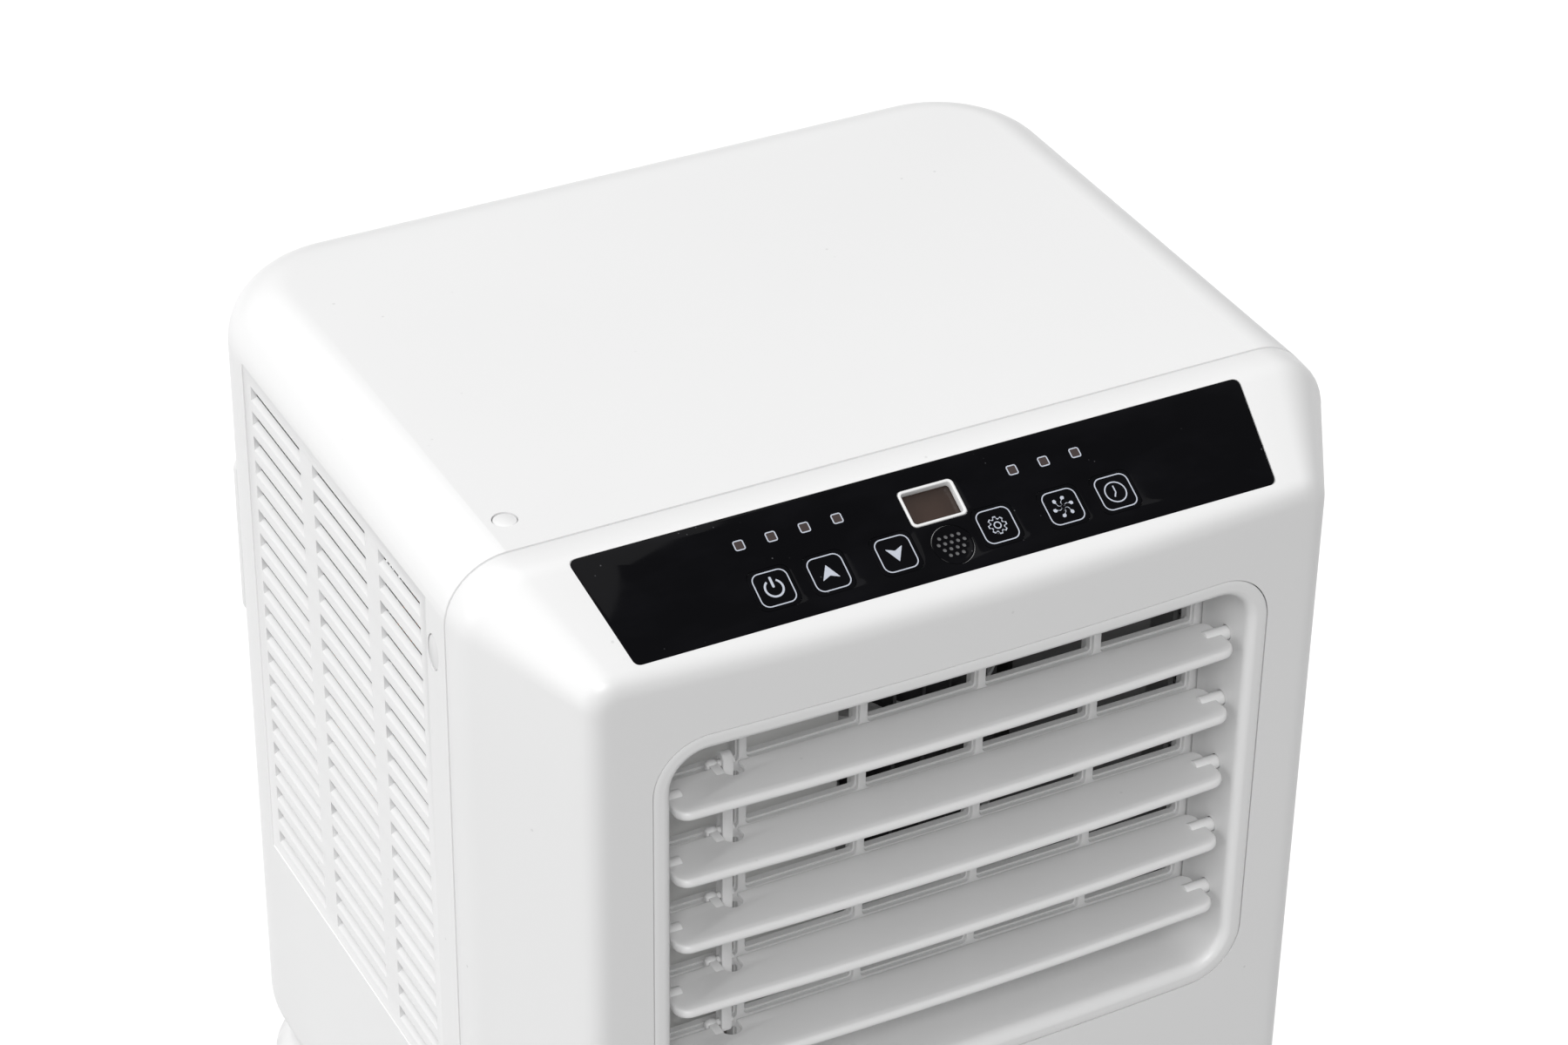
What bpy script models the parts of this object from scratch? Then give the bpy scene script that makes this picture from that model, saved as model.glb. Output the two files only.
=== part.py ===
"""Portable air conditioner: arched casing, sloping control face, five linked louvres, casters.

X runs to the unit's right as seen from the front, Y to the back and Z up. The floor is Z 0 and
the origin is under the middle of the unit. Depths are given from the parting plane, where the
front panel meets the casing, and heights in the upper half are given down from the top.
"""

import math

import bmesh
import bpy
from mathutils import Matrix, Vector

# Driving dimensions, in metres
WIDTH = 0.320
HEIGHT = 0.690
CASE_DEPTH = 0.221          # casing behind the parting plane
FACE_DEPTH = 0.053          # front face ahead of the parting plane, at its sides
FACE_BOW = 0.004            # how far the middle of the front face stands ahead of its sides
REAR_PROUD = 0.015          # exhaust collar behind the casing
CASE_BOTTOM = 0.045
WALL = 0.0025
GAP = 0.0003
TOP_RADIUS = 0.022
PLAN_RADIUS = 0.045

PARTING_Y = FACE_DEPTH + FACE_BOW - (FACE_DEPTH + FACE_BOW + CASE_DEPTH + REAR_PROUD) / 2
BACK_Y = PARTING_Y + CASE_DEPTH
FACE_Y = PARTING_Y - FACE_DEPTH

# Front panel
FACE_INSET = 0.026          # side slope, from the casing's side to the front face
FACE_RADIUS = 0.010
LIP_DEPTH = 0.009
LIP_DROP = 0.0003
LIP_ROLL = 0.004            # soft edge between the lip and the control face
PARTING_GAP = 0.0006

# Control face, measured on the slope
SLOPE_ANGLE = math.radians(27.76)
LABEL_CENTRE_Y = -0.03055
LABEL_CENTRE_Z = -0.0100
LABEL_TOP_HALF = 0.123
LABEL_BOTTOM_HALF = 0.1166
LABEL_HEIGHT = 0.0408
LABEL_THICK = 0.0006
LABEL_POCKET = 0.0010
KEY_SIZE = 0.0148
KEY_ROW = -0.0077
KEYS = {
    "power_key": -0.0632,
    "warmer_key": -0.0438,
    "cooler_key": -0.0196,
    "mode_key": 0.0174,
    "speed_key": 0.0418,
    "timer_key": 0.0615,
}
DISPLAY_SIZE = (0.0184, 0.0146)
DISPLAY_ROW = 0.0067
SENSOR_RADIUS = 0.0072
SENSOR_ROW = -0.0100

# Air outlet and louvres
OUTLET_HALF = 0.114
OUTLET_TOP = -0.0485
OUTLET_BOTTOM = -0.2190
OUTLET_RADIUS = 0.020
OUTLET_RIM = 0.007
DUCT_WALL = 0.002
DUCT_BACK = -0.026
LOUVRE_COUNT = 5
LOUVRE_PITCH = 0.027
LOUVRE_FIRST = -0.081
LOUVRE_HALF = 0.104
PIVOT_DEPTH = -0.041        # louvre axis from the parting plane
LOUVRE_FRONT = 0.0105       # chord ahead of the axis at the ends
LOUVRE_REAR = 0.008
LOUVRE_NOSE = 0.0023        # half thickness at the front edge
LOUVRE_TAIL = 0.0010
LINK_X = -0.077
LINK_ARM = 0.010
GRID_FRONT = -0.024
GRID_BACK = -0.016
GRID_POSTS = (-0.0669, -0.0223, 0.0223, 0.0669)
GRID_POST = 0.003           # width of each post
GRID_BAR = 0.004            # height and depth of each bar
GRID_DROP = 0.007           # each bar's top below its louvre's pivot

# Side intake grille
SLOT_COLUMNS = ((0.020, 0.054), (0.065, 0.110), (0.121, 0.165))
SLOT_ROWS = 20
SLOT_PITCH = 0.010
SLOT_HEIGHT = 0.0058
SLOT_TOP = -0.0250

# Hand grips in the sides, from the parting plane and from the unit's top
GRIP_DEPTH = 0.018
GRIP_SPAN = (0.085, 0.2015)
GRIP_LEVELS = (-0.340, -0.303)
GRIP_RAMP = 1.15            # rise of the ramp over its depth

# Inside and back
DECK_Z = 0.432
BLOWER = (0.024, 0.058)     # wheel axis: across, and behind the parting plane
BLOWER_RADIUS = 0.046
WHEEL_LIFT = 0.037          # wheel's back plate above the scroll's floor
WHEEL_TOP = -0.062
COLLAR = (0.035, 0.330)     # exhaust axis: across, and above the floor
COLLAR_BORE = 0.0635
FAN = (0.045, 0.165)
FILTER_TOP = -0.040
FILTER_BOTTOM = -0.230
FILTER_HALF = 0.112
DRAIN_X = -0.085
DRAINS = {"upper_drain_plug": 0.422, "lower_drain_plug": 0.0600}
CASTER_X = 0.112
CASTER_FRONT = -0.014
CASTER_REAR = 0.178
CASTER_TRAIL = 0.011
WHEEL_RADIUS = 0.0165

ROUND = 24


def fromTop(drop):
    """Height above the floor of a level given from the unit's top."""
    return HEIGHT + drop


def slopeDrop(depth):
    """Height of the control face's plane, from the unit's top, at a depth from the parting plane."""
    return LABEL_CENTRE_Z + (depth - LABEL_CENTRE_Y) * math.tan(SLOPE_ANGLE)


def bowAt(x):
    """How far the front face stands ahead of its sides at this place across."""
    half = WIDTH / 2 - FACE_INSET
    return FACE_BOW * (1 - min(1, (x / half) ** 2))


# Helpers


def clearScene():
    for item in list(bpy.data.objects):
        bpy.data.objects.remove(item, do_unlink=True)


def makeMaterial(name, colour, roughness, metallic=0.0):
    material = bpy.data.materials.new(name)
    material.use_nodes = True
    shader = material.node_tree.nodes["Principled BSDF"]
    shader.inputs["Base Color"].default_value = (*colour, 1)
    shader.inputs["Roughness"].default_value = roughness
    shader.inputs["Metallic"].default_value = metallic
    return material


def addObject(name, bm, material, location=(0, 0, 0)):
    """Makes an object of the bmesh, with its origin at the given place."""
    bmesh.ops.recalc_face_normals(bm, faces=bm.faces)
    mesh = bpy.data.meshes.new(name)
    bm.to_mesh(mesh)
    bm.free()
    item = bpy.data.objects.new(name, mesh)
    item.location = location
    bpy.context.scene.collection.objects.link(item)
    if material:
        mesh.materials.append(material)
        mesh.shade_smooth()
        mesh.set_sharp_from_angle(angle=math.radians(35))
    return item


def addCopy(name, source, location):
    item = bpy.data.objects.new(name, source.data)
    item.location = location
    bpy.context.scene.collection.objects.link(item)
    for old in source.modifiers:
        combine(item, placeTool(old.object, source, item), old.operation)
    return item


def placeTool(tool, source, item):
    """A second cutter, as far from the copy as the first is from its own body."""
    twin = bpy.data.objects.new(tool.name + "_" + item.name, tool.data)
    twin.location = tool.location + item.location - source.location
    bpy.context.scene.collection.objects.link(twin)
    return twin


def combine(body, tool, operation):
    modifier = body.modifiers.new(operation.lower(), "BOOLEAN")
    modifier.operation = operation
    modifier.object = tool
    tool.hide_render = True
    tool.display_type = "WIRE"


def cut(body, bm, location=(0, 0, 0), name="cutter"):
    combine(body, addObject(body.name + "_" + name, bm, None, location), "DIFFERENCE")


def weld(body, bm, location=(0, 0, 0), name="joined"):
    combine(body, addObject(body.name + "_" + name, bm, None, location), "UNION")


def addBlock(bm, low, high):
    size = Vector(high) - Vector(low)
    centre = (Vector(high) + Vector(low)) / 2
    verts = bmesh.ops.create_cube(bm, size=1.0)["verts"]
    bmesh.ops.scale(bm, vec=size, verts=verts)
    bmesh.ops.translate(bm, vec=centre, verts=verts)
    return verts


def block(low, high):
    bm = bmesh.new()
    addBlock(bm, low, high)
    return bm


def addRod(bm, radius, start, end, segments=ROUND):
    along = Vector(end) - Vector(start)
    turn = Vector((0, 0, 1)).rotation_difference(along).to_matrix().to_4x4()
    middle = (Vector(start) + Vector(end)) / 2
    bmesh.ops.create_cone(
        bm, cap_ends=True, segments=segments, radius1=radius, radius2=radius,
        depth=along.length, matrix=Matrix.Translation(middle) @ turn,
    )


def rod(radius, start, end, segments=ROUND):
    bm = bmesh.new()
    addRod(bm, radius, start, end, segments)
    return bm


def prism(outline, low, high, axis="Z"):
    """The outline pushed from low to high along an axis. An outline's two values lie on the other
    two axes, in X, Y, Z order."""
    place = {
        "X": lambda u, v: (low, u, v),
        "Y": lambda u, v: (u, low, v),
        "Z": lambda u, v: (u, v, low),
    }[axis]
    step = {"X": (high - low, 0, 0), "Y": (0, high - low, 0), "Z": (0, 0, high - low)}[axis]
    bm = bmesh.new()
    face = bm.faces.new([bm.verts.new(place(u, v)) for u, v in outline])
    made = bmesh.ops.extrude_face_region(bm, geom=[face])
    verts = [item for item in made["geom"] if isinstance(item, bmesh.types.BMVert)]
    bmesh.ops.translate(bm, vec=step, verts=verts)
    return bm


def turned(profile, axis="Z", segments=ROUND):
    """A solid of revolution. The profile is (radius, height) pairs that form a closed outline."""
    bm = bmesh.new()
    verts = [bm.verts.new((radius, 0, height)) for radius, height in profile]
    edges = [bm.edges.new((verts[i - 1], verts[i])) for i in range(len(verts))]
    bmesh.ops.spin(
        bm, geom=verts + edges, cent=(0, 0, 0), axis=(0, 0, 1), angle=math.tau,
        steps=segments, use_merge=True, use_duplicate=False,
    )
    bmesh.ops.remove_doubles(bm, verts=bm.verts, dist=0.00001)
    turn = {"Z": Matrix(), "X": Matrix.Rotation(math.pi / 2, 4, "Y"),
            "Y": Matrix.Rotation(-math.pi / 2, 4, "X")}[axis]
    bmesh.ops.transform(bm, matrix=turn, verts=bm.verts)
    return bm


def arc(centre, radius, start, end, steps):
    """Points on an arc, with the angles in degrees."""
    points = []
    for i in range(steps + 1):
        angle = math.radians(start + (end - start) * i / steps)
        points.append((centre[0] + radius * math.cos(angle), centre[1] + radius * math.sin(angle)))
    return points


def roundedBox(left, right, bottom, top, radius, steps=5):
    return (
        arc((right - radius, bottom + radius), radius, -90, 0, steps)
        + arc((right - radius, top - radius), radius, 0, 90, steps)
        + arc((left + radius, top - radius), radius, 90, 180, steps)
        + arc((left + radius, bottom + radius), radius, 180, 270, steps)
    )


def archSolid(inset, front, bottom):
    """The casing's outer form, or its hollow: a block with round back corners and round top edges."""
    bm = block(
        (-WIDTH / 2 + inset, front, bottom),
        (WIDTH / 2 - inset, BACK_Y - inset, HEIGHT - inset),
    )
    back = [
        edge for edge in bm.edges
        if all(abs(vert.co.y - BACK_Y + inset) < GAP for vert in edge.verts)
        and abs(edge.verts[0].co.x - edge.verts[1].co.x) < GAP
    ]
    bmesh.ops.bevel(bm, geom=back, offset=PLAN_RADIUS - inset, segments=7, profile=0.5,
                    affect="EDGES")
    rim = [
        edge for edge in bm.edges
        if all(abs(vert.co.z - HEIGHT + inset) < GAP for vert in edge.verts)
        and not all(abs(vert.co.y - front) < GAP for vert in edge.verts)
    ]
    bmesh.ops.bevel(bm, geom=rim, offset=TOP_RADIUS - inset, segments=5, profile=0.5,
                    affect="EDGES")
    return bm


def planOutline(inset):
    """The plan of the hollow inside the casing and the front panel, as seen from above."""
    side = WIDTH / 2 - WALL - inset
    back = BACK_Y - WALL - inset
    radius = PLAN_RADIUS - WALL - inset
    face = WIDTH / 2 - FACE_INSET - WALL - inset
    front = FACE_Y + WALL + inset
    return (
        [(-face, front), (face, front), (side, PARTING_Y)]
        + arc((side - radius, back - radius), radius, 0, 90, 6)
        + arc((-side + radius, back - radius), radius, 90, 180, 6)
        + [(-side, PARTING_Y)]
    )


def onSlope(x, up, out):
    """World place of a point on the control face: across, up the slope, and out from it."""
    y = PARTING_Y + LABEL_CENTRE_Y + up * math.cos(SLOPE_ANGLE) - out * math.sin(SLOPE_ANGLE)
    z = fromTop(LABEL_CENTRE_Z) + up * math.sin(SLOPE_ANGLE) + out * math.cos(SLOPE_ANGLE)
    return Vector((x, y, z))


def tiltToSlope(item, x=0, up=0, out=0):
    item.location = onSlope(x, up, out)
    item.rotation_euler = (SLOPE_ANGLE, 0, 0)


# Casing and front panel


def gripShape(side, grow):
    """The hand grip in one side of the casing, grown by a wall: a pocket with a ramp over it."""
    outer = WIDTH / 2 + 0.01
    inner = WIDTH / 2 - GRIP_DEPTH - grow
    low, high = fromTop(GRIP_LEVELS[0]) - grow, fromTop(GRIP_LEVELS[1]) + grow
    ramp = (outer - inner) * GRIP_RAMP
    outline = [(outer, low), (inner, low), (inner, high), (outer, high + ramp)]
    return prism([(side * x, z) for x, z in outline],
                 PARTING_Y + GRIP_SPAN[0] - grow, PARTING_Y + GRIP_SPAN[1] + grow, "Y")


def makeCasing(material):
    casing = addObject("rear_casing", archSolid(0, PARTING_Y, CASE_BOTTOM), material)
    hollow = addObject("casing_hollow", archSolid(WALL, PARTING_Y - 0.01, CASE_BOTTOM - 0.01), None)
    for side in (-1, 1):
        cut(hollow, gripShape(side, WALL), name="grip_walls")
    combine(casing, hollow, "DIFFERENCE")
    for side in (-1, 1):
        cut(casing, gripShape(side, 0), name="grip_space")

    slots = bmesh.new()
    for row in range(SLOT_ROWS):
        top = fromTop(SLOT_TOP - row * SLOT_PITCH)
        for front, back in SLOT_COLUMNS:
            addBlock(
                slots,
                (-WIDTH / 2 - 0.01, PARTING_Y + front, top - SLOT_HEIGHT),
                (WIDTH / 2 + 0.01, PARTING_Y + back, top),
            )
    cut(casing, slots, name="side_slots")

    vents = bmesh.new()
    for row in range(9):
        top = fromTop(FILTER_TOP - 0.014 - row * 0.019)
        addBlock(vents, (-0.100, BACK_Y - 0.01, top - 0.013), (0.100, BACK_Y + 0.01, top))
    for row in range(11):
        top = 0.238 - row * 0.014
        for left, right in ((-0.105, -0.004), (0.004, 0.105)):
            addBlock(vents, (left, BACK_Y - 0.01, top - 0.009), (right, BACK_Y + 0.01, top))
    cut(casing, vents, name="back_vents")

    x, z = COLLAR
    holes = rod(COLLAR_BORE + 0.003, (x, BACK_Y - 0.01, z), (x, BACK_Y + 0.01, z), 28)
    for height in DRAINS.values():
        addRod(holes, 0.0063, (DRAIN_X, BACK_Y - 0.01, height), (DRAIN_X, BACK_Y + 0.01, height))
    addRod(holes, 0.0073, (DRAIN_X, BACK_Y - 0.01, 0.300), (DRAIN_X, BACK_Y + 0.01, 0.300))
    cut(casing, holes, name="back_holes")

    plugs = prism(plugOutline(0.0043, 0.0068), -WIDTH / 2 - 0.01, WIDTH / 2 + 0.01, "X")
    addRod(plugs, 0.0043, (-0.131, PARTING_Y + 0.0168, HEIGHT - 0.01),
           (-0.131, PARTING_Y + 0.0168, HEIGHT + 0.01))
    cut(casing, plugs, name="plug_holes")

    rails = bmesh.new()
    rail = 0.006
    for level in (fromTop(FILTER_TOP) + 0.0005, fromTop(FILTER_BOTTOM) - 0.0005 - rail):
        addBlock(rails, (-FILTER_HALF, BACK_Y - 0.001, level),
                 (FILTER_HALF, BACK_Y + 0.007, level + rail))
    weld(casing, rails, name="rails")


def plugOutline(across, tall):
    """Oval outline of a side screw plug or its hole, in the plane of the casing's side."""
    y = PARTING_Y + 0.0095
    z = fromTop(-0.0375)
    return [(y + across * math.cos(t * math.tau / 20), z + tall * math.sin(t * math.tau / 20))
            for t in range(20)]


def makeScrewPlugs(material):
    for name, side in (("left_screw_plug", -1), ("right_screw_plug", 1)):
        ends = sorted((side * (WIDTH / 2 - 0.0022), side * (WIDTH / 2 - 0.0002)))
        addObject(name, prism(plugOutline(0.0040, 0.0065), ends[0], ends[1], "X"), material)
    place = (-0.131, PARTING_Y + 0.0168, HEIGHT - 0.0012)
    addObject("top_screw_plug", rod(0.0040, (0, 0, -0.001), (0, 0, 0.001)), material, place)


def archRow(half, top, radius, depth, bowed):
    """One row of the front panel's surface, from the left foot over the top to the right foot."""
    low = CASE_BOTTOM
    columns = 10
    points = [(-half, low), (-half, low + (top - radius - low) / 2)]
    points += arc((-half + radius, top - radius), radius, 180, 90, 6)
    reach = half - radius
    points += [(-reach + 2 * reach * i / columns, top) for i in range(1, columns)]
    points += arc((half - radius, top - radius), radius, 90, 0, 6)
    points += [(half, low + (top - radius - low) / 2), (half, low)]
    if not bowed:
        return [Vector((x, depth, z)) for x, z in points]
    fall = math.tan(SLOPE_ANGLE)
    high = [z > top - radius - GAP for x, z in points]
    return [Vector((x, depth - bowAt(x), z - (bowAt(x) * fall if up else 0)))
            for (x, z), up in zip(points, high)]


def makeFrontPanel(material):
    bm = bmesh.new()
    rear = PARTING_Y - PARTING_GAP
    rows = [
        archRow(WIDTH / 2, HEIGHT, TOP_RADIUS, rear, False),
        archRow(WIDTH / 2 - 0.0010, fromTop(-LIP_DROP), TOP_RADIUS - 0.001,
                PARTING_Y - LIP_DEPTH, False),
        archRow(WIDTH / 2 - 0.0026, fromTop(slopeDrop(-LIP_DEPTH - LIP_ROLL)), TOP_RADIUS - 0.002,
                PARTING_Y - LIP_DEPTH - LIP_ROLL, False),
        archRow(WIDTH / 2 - FACE_INSET, fromTop(slopeDrop(-FACE_DEPTH)), FACE_RADIUS, FACE_Y, True),
    ]
    grid = [[bm.verts.new(point) for point in row] for row in rows]
    for near, far in zip(grid, grid[1:]):
        for i in range(len(near) - 1):
            bm.faces.new((near[i], near[i + 1], far[i + 1], far[i]))
    edge = grid[-1]
    upper = edge[2:-2]
    feet = [edge[0]] + [bm.verts.new((v.co.x, v.co.y, CASE_BOTTOM)) for v in upper[1:-1]] + [edge[-1]]
    for i in range(len(upper) - 1):
        corners = [upper[i], upper[i + 1], feet[i + 1], feet[i]]
        if i == 0:
            corners.append(edge[1])
        if i == len(upper) - 2:
            corners.insert(2, edge[-2])
        bm.faces.new(corners)
    panel = addObject("front_panel", bm, material)
    shell = panel.modifiers.new("shell", "SOLIDIFY")
    shell.thickness = WALL
    shell.offset = -1
    shell.use_even_offset = True

    opening = roundedBox(-OUTLET_HALF, OUTLET_HALF, fromTop(OUTLET_BOTTOM), fromTop(OUTLET_TOP),
                         OUTLET_RADIUS)
    cut(panel, prism(opening, FACE_Y - 0.02, FACE_Y + 0.02, "Y"), name="outlet")

    pocket = labelPlate(GAP, -LABEL_POCKET, 0.01)
    cut(panel, pocket, name="label_pocket")
    tiltToSlope(bpy.data.objects["front_panel_label_pocket"])
    holes = bmesh.new()
    hole = KEY_SIZE / 2 + GAP
    for x in KEYS.values():
        addBlock(holes, (x - hole, KEY_ROW - hole, -0.01), (x + hole, KEY_ROW + hole, 0.01))
    wide, tall = DISPLAY_SIZE
    addBlock(holes, (-wide / 2, DISPLAY_ROW - tall / 2, -0.01), (wide / 2, DISPLAY_ROW + tall / 2, 0.01))
    cut(panel, holes, name="key_holes")
    tiltToSlope(bpy.data.objects["front_panel_key_holes"])


# Controls


def labelPlate(grow, low, high):
    """The control label's plate, in the control face's own axes."""
    half = LABEL_HEIGHT / 2 + grow
    top = LABEL_TOP_HALF + grow
    bottom = LABEL_BOTTOM_HALF + grow
    bm = prism([(-bottom, -half), (bottom, -half), (top, half), (-top, half)], low, high)
    corners = [edge for edge in bm.edges if abs(edge.verts[0].co.z - edge.verts[1].co.z) > GAP]
    bmesh.ops.bevel(bm, geom=corners, offset=0.0025, segments=4, profile=0.5, affect="EDGES")
    return bm


def makeLabel(black, lens, green):
    low = -LABEL_POCKET + GAP
    label = addObject("control_label", labelPlate(0, low, low + LABEL_THICK), black)
    holes = bmesh.new()
    hole = KEY_SIZE / 2 + GAP
    for x in KEYS.values():
        addBlock(holes, (x - hole, KEY_ROW - hole, -0.01), (x + hole, KEY_ROW + hole, 0.01))
    wide, tall = DISPLAY_SIZE
    addBlock(holes, (-wide / 2, DISPLAY_ROW - tall / 2, -0.01), (wide / 2, DISPLAY_ROW + tall / 2, 0.01))
    addRod(holes, SENSOR_RADIUS + GAP, (0, SENSOR_ROW, -0.01), (0, SENSOR_ROW, 0.01), 20)
    cut(label, holes, name="holes")
    tiltToSlope(bpy.data.objects["control_label_holes"])
    tiltToSlope(label)

    sensor = addObject("sensor_cover", rod(SENSOR_RADIUS, (0, 0, low), (0, 0, low + LABEL_THICK), 20),
                       black)
    tiltToSlope(sensor, 0, SENSOR_ROW)

    window = addObject(
        "display_module",
        block((-wide / 2 - 0.002, -tall / 2 - 0.002, -0.0048), (wide / 2 + 0.002, tall / 2 + 0.002, -0.0030)),
        lens,
    )
    weld(window, block((-wide / 2 + 0.001, -tall / 2 + 0.001, -0.0078),
                       (wide / 2 - 0.001, tall / 2 - 0.001, -0.0040)), name="body")
    tiltToSlope(window, 0, DISPLAY_ROW)
    tiltToSlope(bpy.data.objects["display_module_body"], 0, DISPLAY_ROW)

    board = addObject("control_board", block((-0.105, -0.0165, -0.0098), (0.105, 0.0165, -0.0082)), green)
    tiltToSlope(board)
    for name, x in KEYS.items():
        half = KEY_SIZE / 2
        key = addObject(name, block((-half, -half, low), (half, half, low + LABEL_THICK)), black)
        weld(key, rod(0.0030, (0, 0, -0.0068), (0, 0, low + LABEL_THICK / 2), 12), name="stem")
        tiltToSlope(key, x, KEY_ROW)
        tiltToSlope(bpy.data.objects[name + "_stem"], x, KEY_ROW)


# Air outlet


def makeOutlet(material):
    out = GAP
    rim = roundedBox(-OUTLET_HALF + out, OUTLET_HALF - out, fromTop(OUTLET_BOTTOM) + out,
                     fromTop(OUTLET_TOP) - out, OUTLET_RADIUS - out)
    frame = addObject("outlet_frame", prism(rim, FACE_Y - FACE_BOW, FACE_Y + 0.004, "Y"), material)
    step = OUTLET_RIM
    inside = roundedBox(-OUTLET_HALF + step, OUTLET_HALF - step, fromTop(OUTLET_BOTTOM) + step,
                        fromTop(OUTLET_TOP) - step, OUTLET_RADIUS - step)
    step = OUTLET_RIM - DUCT_WALL
    tube = roundedBox(-OUTLET_HALF + step, OUTLET_HALF - step, fromTop(OUTLET_BOTTOM) + step,
                      fromTop(OUTLET_TOP) - step, OUTLET_RADIUS - step)
    weld(frame, prism(tube, FACE_Y + 0.001, PARTING_Y + DUCT_BACK, "Y"), name="tube")
    cut(frame, prism(inside, FACE_Y - 0.02, PARTING_Y, "Y"), name="bore")
    pins = bmesh.new()
    for i in range(LOUVRE_COUNT):
        z = fromTop(LOUVRE_FIRST - i * LOUVRE_PITCH)
        addRod(pins, 0.0022, (-OUTLET_HALF, PARTING_Y + PIVOT_DEPTH, z),
               (OUTLET_HALF, PARTING_Y + PIVOT_DEPTH, z), 8)
    cut(frame, pins, name="pivots")
    steps = 12
    bow = []
    for i in range(steps + 1):
        x = -0.130 + 0.260 * i / steps
        bow.append((x, FACE_Y - bowAt(x)))
    bow += [(0.130, PARTING_Y), (-0.130, PARTING_Y)]
    body = addObject("outlet_frame_bow", prism(bow, CASE_BOTTOM, HEIGHT), None)
    combine(frame, body, "INTERSECT")


def makeGrid(material):
    half = OUTLET_HALF - OUTLET_RIM + DUCT_WALL
    top = fromTop(OUTLET_TOP - OUTLET_RIM + DUCT_WALL)
    bottom = fromTop(OUTLET_BOTTOM + OUTLET_RIM - DUCT_WALL)
    front = PARTING_Y + GRID_FRONT
    back = PARTING_Y + GRID_BACK
    grid = addObject("outlet_grid", block((-half, front, bottom), (half, back, top)), material)
    post = GRID_POST / 2
    rail = GRID_BAR
    across = [(-half + rail, GRID_POSTS[0] - post)]
    across += [(left + post, right - post) for left, right in zip(GRID_POSTS, GRID_POSTS[1:])]
    across += [(GRID_POSTS[-1] + post, half - rail)]
    levels = [top - rail]
    for i in range(LOUVRE_COUNT):
        z = fromTop(LOUVRE_FIRST - GRID_DROP - i * LOUVRE_PITCH)
        levels += [z, z - rail]
    levels.append(bottom + rail)
    holes = bmesh.new()
    for high, low in zip(levels[::2], levels[1::2]):
        for left, right in across:
            addBlock(holes, (left, front - 0.01, low), (right, back + 0.01, high))
    cut(grid, holes, name="holes")
    # the bars are shallower than the posts, so the air meets less of them
    step = 0.0004
    backs = bmesh.new()
    for left, right in across:
        addBlock(backs, (left - step, front + GRID_BAR, bottom + rail - step),
                 (right + step, back + 0.01, top - rail + step))
    cut(grid, backs, name="backs")


def louvreRow(x):
    """A section of a louvre across its axis: thick round front edge, thin tail."""
    inset = max(0, abs(x) - LOUVRE_HALF + 0.004)
    front = LOUVRE_FRONT + bowAt(x) - inset
    nose = arc((-front + LOUVRE_NOSE, 0), LOUVRE_NOSE, 270, 90, 3)
    return [Vector((x, y, z)) for y, z in nose + [(LOUVRE_REAR, LOUVRE_TAIL), (LOUVRE_REAR, -LOUVRE_TAIL)]]


def makeLouvres(material):
    bm = bmesh.new()
    stations = 6
    places = [-LOUVRE_HALF, -LOUVRE_HALF + 0.004]
    inner = LOUVRE_HALF - 0.004
    places += [-inner + 2 * inner * i / stations for i in range(1, stations)]
    places += [inner, LOUVRE_HALF]
    rows = [[bm.verts.new(point) for point in louvreRow(x)] for x in places]
    for near, far in zip(rows, rows[1:]):
        for i in range(len(near)):
            bm.faces.new((near[i - 1], near[i], far[i], far[i - 1]))
    bm.faces.new(rows[0])
    bm.faces.new(rows[-1])

    y = PARTING_Y + PIVOT_DEPTH
    first = addObject("louvre_1", bm, material, (0, y, fromTop(LOUVRE_FIRST)))
    at = first.location
    pins = rod(0.0020, (-LOUVRE_HALF - 0.0045, 0, 0), (-LOUVRE_HALF + 0.006, 0, 0), 8)
    addRod(pins, 0.0020, (LOUVRE_HALF - 0.006, 0, 0), (LOUVRE_HALF + 0.0045, 0, 0), 8)
    weld(first, pins, at, "pins")
    cut(first, block((LINK_X - 0.0035, 0.0020, -0.01), (LINK_X + 0.0035, 0.02, 0.01)), at, "notch")
    ear = block((LINK_X - 0.0065, 0.0015, -0.0010), (LINK_X - 0.0030, LINK_ARM + 0.0020, 0.0010))
    weld(first, ear, at, "ear")
    weld(first, rod(0.0013, (LINK_X - 0.0045, LINK_ARM, 0), (LINK_X + 0.0040, LINK_ARM, 0), 8), at,
         "link_pin")
    for i in range(1, LOUVRE_COUNT):
        addCopy("louvre_" + str(i + 1), first, (0, y, fromTop(LOUVRE_FIRST - i * LOUVRE_PITCH)))

    reach = LOUVRE_PITCH * (LOUVRE_COUNT - 1)
    place = (LINK_X, y + LINK_ARM, fromTop(LOUVRE_FIRST))
    link = addObject("louvre_link", block((-0.0018, -0.0024, -reach - 0.004), (0.0018, 0.0024, 0.004)),
                     material, place)
    holes = bmesh.new()
    for i in range(LOUVRE_COUNT):
        z = -i * LOUVRE_PITCH
        addRod(holes, 0.0016, (-0.01, 0, z), (0.01, 0, z), 8)
    cut(link, holes, place, "holes")


# Air path inside


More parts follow.
